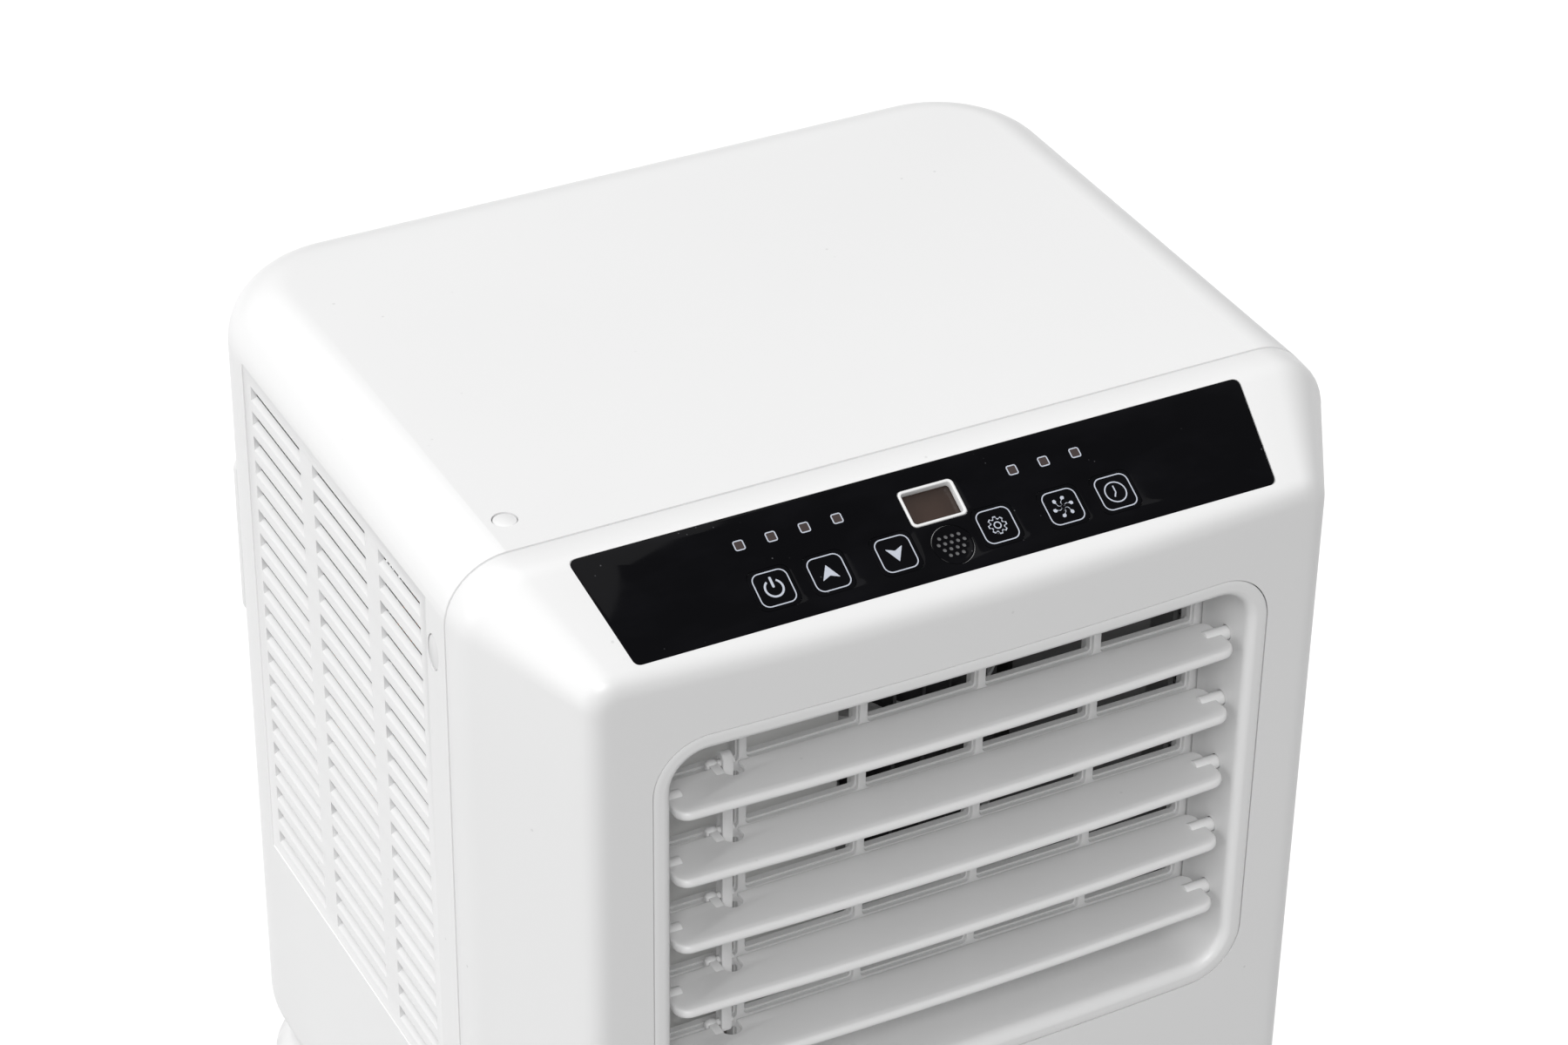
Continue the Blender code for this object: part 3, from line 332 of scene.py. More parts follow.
def arc(centre, radius, start, end, steps):
    # points on an arc, with angles in degrees
    return [(centre[0] + radius * math.cos(math.radians(start + (end - start) * i / steps)),
             centre[1] + radius * math.sin(math.radians(start + (end - start) * i / steps)))
            for i in range(steps + 1)]


def middleOf(node):
    low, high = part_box(node)
    return (low + high) / 2


def ovalPoints(x, middle, wide, tall, steps=40):
    # an upright oval that faces X
    return [(x, middle.y + wide * math.cos(t * math.tau / steps),
             middle.z + tall * math.sin(t * math.tau / steps)) for t in range(steps)]


def roundedOutline(left, right, low, high, radius, steps=8):
    return (arc((right - radius, low + radius), radius, -90, 0, steps)
            + arc((right - radius, high - radius), radius, 0, 90, steps)
            + arc((left + radius, high - radius), radius, 90, 180, steps)
            + arc((left + radius, low + radius), radius, 180, 270, steps))


def lofted(rows, closed=False):
    # a sheet of quads through rows of points
    across = len(rows[0]) - 1 + closed
    along = len(rows) - 1
    bm = bmesh.new()
    for vert in bmesh.ops.create_grid(bm, x_segments=across, y_segments=along, size=1)["verts"]:
        i = round((vert.co.x + 1) / 2 * across)
        j = round((vert.co.y + 1) / 2 * along)
        vert.co = rows[j][i % len(rows[0])]
    bmesh.ops.remove_doubles(bm, verts=bm.verts, dist=0.000002)
    return bm


def merged(*shapes):
    # several shapes in one bmesh, each still its own body
    whole = bmesh.new()
    for bm in shapes:
        mesh = bpy.data.meshes.new("part")
        bm.to_mesh(mesh)
        bm.free()
        whole.from_mesh(mesh)
        bpy.data.meshes.remove(mesh)
    return whole


def combined(bm, tool, operation="DIFFERENCE"):
    # one shape cut by, or joined with, another
    items = []
    for shape in (bm, tool):
        bmesh.ops.recalc_face_normals(shape, faces=shape.faces)
        mesh = bpy.data.meshes.new("shape")
        shape.to_mesh(mesh)
        shape.free()
        items.append(bpy.data.objects.new("shape", mesh))
        bpy.context.scene.collection.objects.link(items[-1])
    change = items[0].modifiers.new("shape", "BOOLEAN")
    change.operation = operation
    change.object = items[1]
    result = items[0].evaluated_get(bpy.context.evaluated_depsgraph_get())
    made = bmesh.new()
    made.from_mesh(result.to_mesh())
    for item in items:
        mesh = item.data
        bpy.data.objects.remove(item)
        bpy.data.meshes.remove(mesh)
    return made


def soften(bm, width, segments=2, angle=30, where=lambda middle: True):
    edges = [edge for edge in bm.edges
             if len(edge.link_faces) == 2 and edge.calc_face_angle() > math.radians(angle)
             and where((edge.verts[0].co + edge.verts[1].co) / 2)]
    bmesh.ops.bevel(bm, geom=edges, offset=width, segments=segments, profile=0.5, affect="EDGES",
                    clamp_overlap=True, material=-1)
    return bm


def paint(bm, index, where=lambda middle: True):
    for face in bm.faces:
        if where(face.calc_center_median()):
            face.material_index = index
    return bm


def addPiece(name, bm, materials, body, replaced=(), sharp=32):
    bmesh.ops.remove_doubles(bm, verts=bm.verts, dist=0.000001)
    bmesh.ops.recalc_face_normals(bm, faces=bm.faces)
    mesh = bpy.data.meshes.new(name)
    bm.to_mesh(mesh)
    bm.free()
    for material in materials:
        mesh.materials.append(finishes[material])
    mesh.shade_smooth()
    mesh.set_sharp_from_angle(angle=math.radians(sharp))
    piece = bpy.data.objects.new(name, mesh)
    bpy.context.scene.collection.objects.link(piece)
    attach(piece, body)
    if replaced:
        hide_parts(*replaced)
    return piece


def keepNode(node, material):
    # a CAD node whose shape is right, with a better finish
    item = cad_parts[node]
    item.data.materials.clear()
    item.data.materials.append(finishes[material])


# Camera, light and floor

studio = {
    "cameraPlace": (-0.5855, -1.1220, 1.4441),
    "cameraRight": (0.88793, -0.45981, 0.01201),
    "cameraUp": (0.24474, 0.49438, 0.83409),
    "lens": 99.67,
    "world": 0.35,
    "lights": (                   # name, where it shines from, strength, softness in degrees
        ("key light", (-0.35, -0.68, 0.64), 1.35, 24),
        ("top light", (-0.20, 0.30, 0.93), 1.50, 60),
        ("left light", (-0.95, 0.0, 0.30), 1.20, 50),
    ),
}


def makeStudio(spec):
    camera = bpy.data.objects.new("camera", bpy.data.cameras.new("camera"))
    camera.data.lens = spec["lens"]
    camera.data.sensor_width = 36
    camera.data.sensor_fit = "HORIZONTAL"
    right, up = Vector(spec["cameraRight"]), Vector(spec["cameraUp"])
    turn = Matrix((right, up, right.cross(up))).transposed().to_4x4()
    camera.matrix_world = Matrix.Translation(spec["cameraPlace"]) @ turn
    bpy.context.scene.collection.objects.link(camera)
    bpy.context.scene.camera = camera

    world = bpy.data.worlds.new("studio")
    world.use_nodes = True
    sky = world.node_tree.nodes["Background"]
    sky.inputs["Color"].default_value = (1, 1, 1, 1)
    sky.inputs["Strength"].default_value = spec["world"]
    bpy.context.scene.world = world

    for name, aim, strength, spread in spec["lights"]:
        lamp = bpy.data.lights.new(name, "SUN")
        lamp.energy = strength
        lamp.angle = math.radians(spread)
        item = bpy.data.objects.new(name, lamp)
        item.rotation_euler = Vector(aim).to_track_quat("Z", "Y").to_euler()
        bpy.context.scene.collection.objects.link(item)

    bm = bmesh.new()
    bmesh.ops.create_grid(bm, x_segments=1, y_segments=1, size=9)
    mesh = bpy.data.meshes.new("floor")
    bm.to_mesh(mesh)
    bm.free()
    mesh.materials.append(floorFinish())
    floor = bpy.data.objects.new("floor", mesh)
    bpy.context.scene.collection.objects.link(floor)
    floor.visible_diffuse = False      # the floor's bounce would light the front as much as the top
    bpy.context.scene.view_settings.view_transform = "Standard"


makeStudio(studio)


# Casing

casing = {
    "topRadius": 22 * mm,
    "planRadius": 45 * mm,
    "slotColumns": ((20, 54), (65, 110), (121, 165)),     # behind the parting line, mm
    "slotRows": 20,
    "slotPitch": 10 * mm,
    "slotHeight": 5.8 * mm,
    "slotTop": 25 * mm,                                   # below the top
    "slotRise": 0.62,                                     # how steeply the slats rise inwards
    "recess": 0.4 * mm,
    "recessBorder": ((14.5, 171.5), (226.5, 19.5)),       # behind the parting line, below the top, mm
    "gripDepth": 17.5 * mm,
    "gripSpan": (85 * mm, 142 * mm),                      # behind the parting line
    "gripDrop": (340 * mm, 306 * mm),                     # below the top
    "scoopDeep": 6.6,                                     # mm
    "scoopLevels": (384, 361, 349),                       # ramp, valley and lip above the floor, mm
    "filterSlots": {"rows": 9, "first": 54 * mm, "pitch": 19 * mm, "height": 13 * mm, "reach": 100 * mm},
    "rearSlots": {"rows": 11, "first": 238 * mm, "pitch": 14 * mm, "height": 9 * mm, "reach": 105 * mm,
                  "rib": 4 * mm},
    "collarHole": 66.5 * mm,
    "roundHoles": {"upper_drain_plug": 6.3 * mm, "lower_drain_plug": 6.3 * mm, "cord_inlet_gland": 7.3 * mm},
    "topPlugHole": 4.3 * mm,
    "sidePlugHole": (4.3 * mm, 6.8 * mm),                 # half width and half height of the oval
    "edge": 0.35 * mm,
}


def archBlock(inset, front, low):
    bm = boxShape((-half + inset, front, low), (half - inset, backY - inset, top - inset))
    tiny = 0.1 * mm
    back = [edge for edge in bm.edges
            if all(vert.co.y > backY - inset - tiny for vert in edge.verts)
            and abs(edge.verts[0].co.x - edge.verts[1].co.x) < tiny]
    bmesh.ops.bevel(bm, geom=back, offset=casing["planRadius"] - inset, segments=22, profile=0.5,
                    affect="EDGES", material=-1)
    rim = [edge for edge in bm.edges
           if all(vert.co.z > top - inset - tiny for vert in edge.verts)
           and not all(vert.co.y < front + tiny for vert in edge.verts)]
    bmesh.ops.bevel(bm, geom=rim, offset=casing["topRadius"] - inset, segments=14, profile=0.5,
                    affect="EDGES", material=-1)
    return bm


def gripShape(grow):
    # the deep part of the hand grip in each side
    low, high = top - casing["gripDrop"][0] - grow, top - casing["gripDrop"][1] + grow
    front, rear = partingY + casing["gripSpan"][0] - grow, partingY + casing["gripSpan"][1] + grow
    inside, outside = half - casing["gripDepth"] - grow, half + 10 * mm
    grips = bmesh.new()
    for side in (-1, 1):
        left, right = sorted((side * inside, side * outside))
        boxShape((left, front, low), (right, rear, high), grips)
    return grips


def scoopShape(grow):
    # the shallow scoop that leads from each grip round the back corner: a long ramp and a short lip
    radius = casing["planRadius"]
    deep = casing["scoopDeep"]
    ramp, valley, lip = casing["scoopLevels"]
    profile = [(-8, lip - 4), (0, lip), (deep * 0.75, valley - 4), (deep, valley)]
    profile += [(deep * (0.5 + 0.5 * math.cos(math.pi * t / 8)), valley + (ramp - valley) * t / 8)
                for t in range(1, 9)]
    profile.append((-8, ramp + 4))
    middle = sum(z for depth, z in profile) / len(profile)
    spread = grow / mm
    profile = [(depth + spread, z + spread * (1 if z > middle else -1)) for depth, z in profile]
    shapes = []
    for side in (-1, 1):
        corner = (side * (half - radius), backY - radius)
        path = [((side * half, partingY + y * mm), (side, 0)) for y in (125, 140, 155, 165, 173)]
        for turn in range(0, 71, 7):
            angle = math.radians(turn)
            out = (side * math.cos(angle), math.sin(angle))
            path.append(((corner[0] + radius * out[0], corner[1] + radius * out[1]), out))
        rows = []
        for i, ((x, y), out) in enumerate(path):
            fade = min(1, (len(path) - 1 - i) / 5 + 0.02)      # the scoop runs out round the corner
            faded = [((depth * fade if depth > 0 else depth) * mm, z * mm) for depth, z in profile]
            rows.append([Vector((x - out[0] * depth, y - out[1] * depth, z)) for depth, z in faded])
        bm = lofted(rows, closed=True)
        bmesh.ops.holes_fill(bm, edges=bm.edges)
        shapes.append(bm)
    return merged(*shapes)


def makeCasing(spec):
    hollow = combined(archBlock(wall, partingY - 10 * mm, bottom - 10 * mm), gripShape(wall))
    shell = combined(archBlock(0, partingY, bottom), combined(hollow, scoopShape(wall)))
    shell = combined(combined(shell, soften(gripShape(0), 3 * mm, 4, 20)), scoopShape(0))

    (front, rear), (low, high) = spec["recessBorder"]
    panels = [boxShape((-half - 5 * mm, partingY + front * mm, top - low * mm),
                       (-half + spec["recess"], partingY + rear * mm, top - high * mm)),
              boxShape((half - spec["recess"], partingY + front * mm, top - low * mm),
                       (half + 5 * mm, partingY + rear * mm, top - high * mm))]
    shell = combined(shell, merged(*panels))

    slots = bmesh.new()
    face = half - spec["recess"]
    for row in range(spec["slotRows"]):
        high = top - spec["slotTop"] - row * spec["slotPitch"]
        for near, far in spec["slotColumns"]:
            for side in (-1, 1):
                ends = sorted((side * (half + 4 * mm), side * (half - 5 * mm)))
                boxShape((ends[0], partingY + near * mm, high - spec["slotHeight"]),
                         (ends[1], partingY + far * mm, high), slots)
    for vert in slots.verts:
        vert.co.z += (face - abs(vert.co.x)) * spec["slotRise"]
    shell = combined(shell, slots)

    near, far = backY - 10 * mm, backY + 10 * mm
    vents = bmesh.new()
    bank = spec["filterSlots"]
    for row in range(bank["rows"]):
        high = top - bank["first"] - row * bank["pitch"]
        boxShape((-bank["reach"], near, high - bank["height"]), (bank["reach"], far, high), vents)
    bank = spec["rearSlots"]
    for row in range(bank["rows"]):
        high = bank["first"] - row * bank["pitch"]
        for side in (-1, 1):
            ends = sorted((side * bank["rib"], side * bank["reach"]))
            boxShape((ends[0], near, high - bank["height"]), (ends[1], far, high), vents)
    middle = middleOf("exhaust_collar")
    holes = [vents, rodShape(spec["collarHole"], (middle.x, near, middle.z), (middle.x, far, middle.z), 96)]
    for node, radius in spec["roundHoles"].items():
        middle = middleOf(node)
        holes.append(rodShape(radius, (middle.x, near, middle.z), (middle.x, far, middle.z)))
    middle = middleOf("top_screw_plug")
    holes.append(rodShape(spec["topPlugHole"], (middle.x, middle.y, top - 10 * mm),
                          (middle.x, middle.y, top + 10 * mm)))
    oval = ovalPoints(-half - 10 * mm, middleOf("left_screw_plug"), *spec["sidePlugHole"])
    holes.append(pushed(oval, (2 * half + 20 * mm, 0, 0)))
    shell = combined(shell, merged(*holes))

    def atSlot(middle):
        return face - 0.1 * mm < abs(middle.x) < half - 0.1 * mm and middle.z > top - 230 * mm

    def atParting(middle):
        crown = middle.z > top - spec["topRadius"] - 0.1 * mm and middle.x != 0 and not nearInner(middle)
        return middle.y < partingY + 0.05 * mm and (abs(middle.x) > half - 0.05 * mm or crown)

    soften(shell, spec["edge"], 2, 40, atSlot)
    soften(shell, 0.5 * mm, 2, 50, atParting)
    soften(shell, 0.6 * mm, 2, 50, lambda middle: middle.y > backY - 0.05 * mm)
    addPiece("casing_shell", shell, ["casing"], "housing", ["rear_casing"])


def nearInner(m):
    # whether a place on the front edge lies on the inner side of the wall
    x, z = abs(m.x), m.z
    radius = casing["topRadius"]
    if x < half - radius:
        return z < top - wall / 2
    reach = math.hypot(x - half + radius, max(0, z - top + radius))
    return reach < radius - wall / 2


makeCasing(casing)
print("casing made")


# Front panel

panel = {
    "gap": 0.6 * mm,
    "lip": 8.6 * mm,              # how far the lip runs before it rolls over
    "roll": 12.1 * mm,
    "slope": 15.6 * mm,
    "faceDepth": 53 * mm,
    "faceBow": 4 * mm,
    "sideInset": 26 * mm,
    "faceRadius": 10 * mm,
    "fold": 5.5 * mm,             # size of the soft fold round the front face
    "faceRows": (9, 13, 17, 21, 26, 32, 40, 50, 62, 76, 92, 108, 122, 134),    # inside the face's edge, mm
    "keyHole": 15.4 * mm,
    "edge": 0.35 * mm,
}
slopeAngle = math.radians(27.76)
labelY, labelDrop = -30.55 * mm, 10 * mm
onSlope = (Matrix.Translation((0, partingY + labelY, top - labelDrop))
           @ Matrix.Rotation(slopeAngle, 4, "X"))
faceHalf = half - panel["sideInset"]
faceY = partingY - panel["faceDepth"]


def bowAt(x):
    return panel["faceBow"] * (1 - min(1, (x / faceHalf) ** 2))


def slopeDrop(depth):
    # how far the control face lies below the top, this far ahead of the parting line
    return labelDrop + (depth + labelY) * math.tan(slopeAngle)


def archRow(inset, drop, radius, depth, bow=0.0):
    # from the left foot over the top to the right foot
    reach, high = half - inset, top - drop
    radius = min(radius, reach)
    legs, crown = 14, 28
    foot = high - radius
    points = [(-reach, bottom + (foot - bottom) * i / legs) for i in range(legs)]
    points += arc((-reach + radius, foot), radius, 180, 90, 10)
    points += [((-reach + radius) + 2 * (reach - radius) * i / crown, high) for i in range(1, crown)]
    points += arc((reach - radius, foot), radius, 90, 0, 10)
    points += [(reach, bottom + (foot - bottom) * i / legs) for i in range(legs - 1, -1, -1)]
    fall = math.tan(slopeAngle)
    return [Vector((x, partingY - depth - bow * bowAt(x),
                    z - bow * bowAt(x) * fall * max(0, min(1, (z - high + 2 * radius) / radius))))
            for x, z in points]


def bendRows(first, middle, last, steps):
    return [[a.lerp(b, t).lerp(b.lerp(c, t), t) for a, b, c in zip(first, middle, last)]
            for t in [i / steps for i in range(steps + 1)]]


def faceRow(inset):
    # a row on the front face, this far inside the fold
    edge = panel["faceDepth"]
    row = archRow(panel["sideInset"] + inset, slopeDrop(edge) + inset,
                  max(panel["faceRadius"] - inset, 1.5 * mm), edge)
    bows = [bowAt(p.x) for p in row]
    return [Vector((p.x, p.y - bow, p.z - (bow / 2 if p.z > top - 60 * mm else 0)))
            for p, bow in zip(row, bows)]


def makePanel(spec):
    edge = spec["faceDepth"]
    radius = casing["topRadius"]
    parting = archRow(0, 0, radius, spec["gap"])
    lip = archRow(0.9 * mm, 0.25 * mm, radius - 1 * mm, spec["lip"])
    crest = archRow(1.6 * mm, 0.35 * mm, radius - 1.4 * mm, spec["roll"])
    foot = archRow(4.1 * mm, slopeDrop(spec["slope"]), radius - 2.4 * mm, spec["slope"])
    corner = archRow(spec["sideInset"], slopeDrop(edge), spec["faceRadius"], edge, 1.0)
    reach = (corner[30] - foot[30]).length
    before = [a.lerp(b, 1 - spec["fold"] / reach) for a, b in zip(foot, corner)]
    rows = [parting] + bendRows(lip, crest, foot, 6)
    rows += [[a.lerp(b, i / 7) for a, b in zip(foot, before)] for i in range(1, 7)]
    rows += bendRows(before, corner, faceRow(spec["fold"]), 8)
    rows += [faceRow(inset * mm) for inset in spec["faceRows"]]
    bm = lofted(rows)
    bmesh.ops.recalc_face_normals(bm, faces=bm.faces)
    if sum(face.normal.y * face.calc_area() for face in bm.faces) > 0:
        bmesh.ops.reverse_faces(bm, faces=bm.faces)
    bmesh.ops.solidify(bm, geom=bm.faces, thickness=wall)

    low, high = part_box("outlet_frame")
    opening = roundedOutline(low.x - 0.3 * mm, high.x + 0.3 * mm, low.z - 0.3 * mm, high.z + 0.3 * mm,
                             20 * mm, 16)
    bm = combined(bm, pushed([(x, faceY - 20 * mm, z) for x, z in opening], (0, 40 * mm, 0)))
    bm = combined(bm, labelShape(0.25 * mm, -0.75 * mm, 10 * mm))
    reach, keyRow = spec["keyHole"] / 2, label["keyRow"]
    holes = bmesh.new()
    for x in keyPlaces.values():
        boxShape((x - reach, keyRow - reach, -10 * mm), (x + reach, keyRow + reach, 10 * mm), holes)
    wide, tall = label["display"][0] - 2.2 * mm, label["display"][1] - 1.2 * mm
    row = label["displayRow"]
    boxShape((-wide / 2, row - tall / 2 + 0.4 * mm, -10 * mm), (wide / 2, row + tall / 2, 10 * mm), holes)
    bmesh.ops.transform(holes, matrix=onSlope, verts=holes.verts)
    bm = combined(bm, holes)

    def atMouth(m):
        return m.y < faceY + 0.3 * mm and low.z - mm < m.z < high.z + mm and abs(m.x) < high.x + mm
    soften(bm, spec["edge"], 2, 50, atMouth)
    soften(bm, 0.5 * mm, 2, 50, lambda m: m.y > partingY - 0.7 * mm and not nearInner(m))
    addPiece("front_cover", bm, ["panel"], "housing", ["front_panel"])

    # the tongue that backs the parting line
    rows = []
    for inset, y in ((1.3, -2), (1.3, 1.5), (2.3, 1.5), (2.3, -2), (1.3, -2)):
        row = archRow(inset * mm, inset * mm, (22 - inset) * mm, 0)
        rows.append([Vector((p.x, partingY + y * mm, p.z)) for p in row])
    addPiece("parting_tongue", lofted(rows), ["inner"], "housing")


# Control label, keys, lamps and display

label = {
    "topHalf": 123 * mm,
    "bottomHalf": 116.6 * mm,
    "height": 40.8 * mm,
    "corner": 2.8 * mm,
    "face": -0.1 * mm,            # below the panel's surface
    "thick": 0.5 * mm,
    "keySize": 14.8 * mm,
    "keyRow": -7.7 * mm,
    "keyCorner": 2.9 * mm,
    "ring": 12.5 * mm,
    "line": 0.4 * mm,
    "ink": 0.05 * mm,
    "display": (20.6 * mm, 14.2 * mm),
    "displayRow": 6.1 * mm,
    "sensorRadius": 7.1 * mm,
    "sensorRow": -10 * mm,
    "lampRow": 9.8 * mm,
    "lampSize": 3.7 * mm,
    "lamps": (-67.8, -56.4, -44.6, -32.9, 31.3, 43.0, 54.8),
}
keyPlaces = {"power_key": -63.2 * mm, "warmer_key": -43.8 * mm, "cooler_key": -19.6 * mm,
             "mode_key": 17.4 * mm, "speed_key": 41.8 * mm, "timer_key": 61.5 * mm}


def filleted(points, radius, steps=6):
    # an outline with its corners rounded
    made = []
    for i, point in enumerate(points):
        point = Vector(point)
        before, after = Vector(points[i - 1]) - point, Vector(points[(i + 1) % len(points)]) - point
        reach = radius / math.tan(before.angle(after) / 2)
        first, last = point + before.normalized() * reach, point + after.normalized() * reach
        made += [first.lerp(point, t / steps).lerp(point.lerp(last, t / steps), t / steps)
                 for t in range(steps + 1)]
    return [tuple(point) for point in made]


def squareOutline(size, radius, steps=6):
    return roundedOutline(-size / 2, size / 2, -size / 2, size / 2, radius, steps)


def plate(outline, low, high, middle=(0, 0)):
    return pushed([(x + middle[0], y + middle[1], low) for x, y in outline], (0, 0, high - low))


def ringPlate(outer, inner, low, high, middle=(0, 0)):
    rows = [[Vector((x + middle[0], y + middle[1], z)) for x, y in outline]
            for outline, z in ((outer, low), (outer, high), (inner, high), (inner, low), (outer, low))]
    return lofted(rows, closed=True)


def labelShape(grow, low, high):
    tall = label["height"] / 2 + grow
    corners = [(-label["bottomHalf"] - grow, -tall), (label["bottomHalf"] + grow, -tall),
               (label["topHalf"] + grow, tall), (-label["topHalf"] - grow, tall)]
    bm = plate(filleted(corners, label["corner"]), low, high)
    bmesh.ops.transform(bm, matrix=onSlope, verts=bm.verts)
    return bm


def toSlope(bm, x=0.0, up=0.0):
    bmesh.ops.transform(bm, matrix=onSlope @ Matrix.Translation((x, up, 0)), verts=bm.verts)
    return bm


def makeLabel(spec):
    face = spec["face"]
    bm = labelShape(0, face - spec["thick"], face)
    cutters = [plate(squareOutline(spec["keySize"] + 0.2 * mm, spec["keyCorner"]), -5 * mm, 5 * mm,
                     (x, spec["keyRow"])) for x in keyPlaces.values()]
    wide, tall = spec["display"]
    cutters.append(plate(roundedOutline(-wide / 2, wide / 2, -tall / 2, tall / 2, 2 * mm), -5 * mm, 5 * mm,
                         (0, spec["displayRow"])))
    cutters.append(rodShape(spec["sensorRadius"] + 0.2 * mm, (0, spec["sensorRow"], -5 * mm),
                            (0, spec["sensorRow"], 5 * mm), 64))
    bm = combined(bm, toSlope(merged(*cutters)))
    soften(bm, 0.12 * mm, 2, 50)
    addPiece("label_film", bm, ["film"], "housing", ["control_label"])

    rings, panes = [], []
    size, line = spec["lampSize"], spec["line"]
    for x in spec["lamps"]:
        middle = (x * mm, spec["lampRow"])
        rings.append(ringPlate(squareOutline(size, 0.8 * mm, 4), squareOutline(size - 2 * line, 0.35 * mm, 4),
                               face - 0.02 * mm, face + spec["ink"], middle))
        panes.append(plate(squareOutline(size - 2 * line, 0.35 * mm, 4), face - 0.02 * mm, face + 0.01 * mm,
                           middle))
    lamps = merged(paint(merged(*panes), 1), merged(*rings))
    addPiece("lamp_windows", toSlope(lamps), ["ink", "lamp"], "housing")

    # display bezel and its lens
    row = spec["displayRow"]
    outer = roundedOutline(-wide / 2 + 0.2 * mm, wide / 2 - 0.2 * mm, -tall / 2 + 0.2 * mm,
                           tall / 2 - 0.2 * mm, 1.9 * mm)
    inner = roundedOutline(-wide / 2 + 1.2 * mm, wide / 2 - 1.2 * mm, -tall / 2 + 1.2 * mm,
                           tall / 2 - 1.2 * mm, 1.2 * mm)
    bezel = soften(ringPlate(outer, inner, -2.9 * mm, 0.0), 0.3 * mm, 3, 50)
    addPiece("display_bezel", toSlope(bezel, 0, row), ["louvre"], "housing")
    keepNode("display_module", "lens")

    # round pierced sensor cover
    radius, centre = spec["sensorRadius"], spec["sensorRow"]
    disc = turnedShape([(0, face - spec["thick"]), (radius, face - spec["thick"]), (radius, face - 0.1 * mm),
                        (radius - 0.15 * mm, face), (radius - 0.8 * mm, face),
                        (radius - 1.1 * mm, face - 0.12 * mm), (0, face - 0.12 * mm)], segments=64)
    pits = []
    for row, count in zip((-3.3, -1.1, 1.1, 3.3), (3, 4, 5, 4)):
        for i in range(count):
            x, y = (i - (count - 1) / 2) * 2.35 * mm, row * mm
            pits.append(rodShape(0.7 * mm, (x, y, face - 0.4 * mm), (x, y, face + mm), 16))
    disc = combined(disc, merged(*pits))
    for item in disc.faces:
        item.material_index = int(item.calc_center_median().z < face - 0.3 * mm and item.calc_area() < 2e-6
                                  and item.normal.z > 0.5)
    addPiece("sensor_disc", toSlope(disc, 0, centre), ["film", "sieve"], "housing",
             ["sensor_cover"])


def arcBand(radius, line, start, end, low, high, steps=28):
    # part of a ring, with square ends
    outer = arc((0, 0), radius + line / 2, start, end, steps)
    inner = arc((0, 0), radius - line / 2, end, start, steps)
    return plate(outer + inner, low, high)


def ringBand(radius, line, low, high):
    outlines = [arc((0, 0), radius + line * side / 2, 0, 360, 40)[:-1] for side in (1, -1)]
    return ringPlate(*outlines, low, high)


def powerSign(low, high):
    bar = roundedOutline(-0.42 * mm, 0.42 * mm, 0.2 * mm, 4.2 * mm, 0.38 * mm, 4)
    return [arcBand(3.05 * mm, 0.7 * mm, 122, 418, low, high), plate(bar, low, high)]


def arrowSign(low, high, flip):
    points = [(0, 2.9), (3.1, -2.4), (0, -1.1), (-3.1, -2.4)]
    points = [(x * mm * flip, y * mm * flip) for x, y in points]
    return [plate(filleted(points, 0.12 * mm, 3), low, high)]


def gearSign(low, high):
    teeth, line = 8, 0.42
    teethCorners = ((2.55, -15, 1.12), (3.35, -9.5, 0.8), (3.35, 9.5, 0.8), (2.55, 15, 1.12))
    outline, inside = [], []
    for i in range(teeth):
        turn = 360 * i / teeth
        for radius, spread, pinch in teethCorners:
            angle, tight = math.radians(turn + spread), math.radians(turn + spread * pinch)
            outline.append((radius * mm * math.cos(angle), radius * mm * math.sin(angle)))
            inside.append(((radius - line) * mm * math.cos(tight), (radius - line) * mm * math.sin(tight)))
    return [ringPlate(outline, inside, low, high), ringBand(1.15 * mm, 0.4 * mm, low, high)]


def fanSign(low, high):
    blades, count = [], 6
    blade = arc((1.7 * mm, -0.45 * mm), 1.35 * mm, 200, 20, 10)
    blade += arc((3.2 * mm, 0.6 * mm), 0.75 * mm, -40, 150, 6)
    blade += arc((1.6 * mm, 0.15 * mm), 0.95 * mm, 50, 200, 8)
    for i in range(count):
        bm = plate(blade, low, high)
        bmesh.ops.rotate(bm, matrix=Matrix.Rotation(math.tau * i / count, 3, "Z"), verts=bm.verts)
        blades.append(bm)
    return blades


def clockSign(low, high):
    hands = [pushed([(x, y, low) for x, y in points], (0, 0, high - low)) for points in (
        [(-0.22 * mm, 2.4 * mm), (-0.22 * mm, -0.1 * mm), (0.22 * mm, -0.1 * mm), (0.22 * mm, 2.4 * mm)],
        [(-0.18 * mm, 0.1 * mm), (-1.15 * mm, -1.5 * mm), (-0.75 * mm, -1.75 * mm), (0.22 * mm, -0.1 * mm)])]
    return [ringBand(3.7 * mm, 0.45 * mm, low, high)] + hands


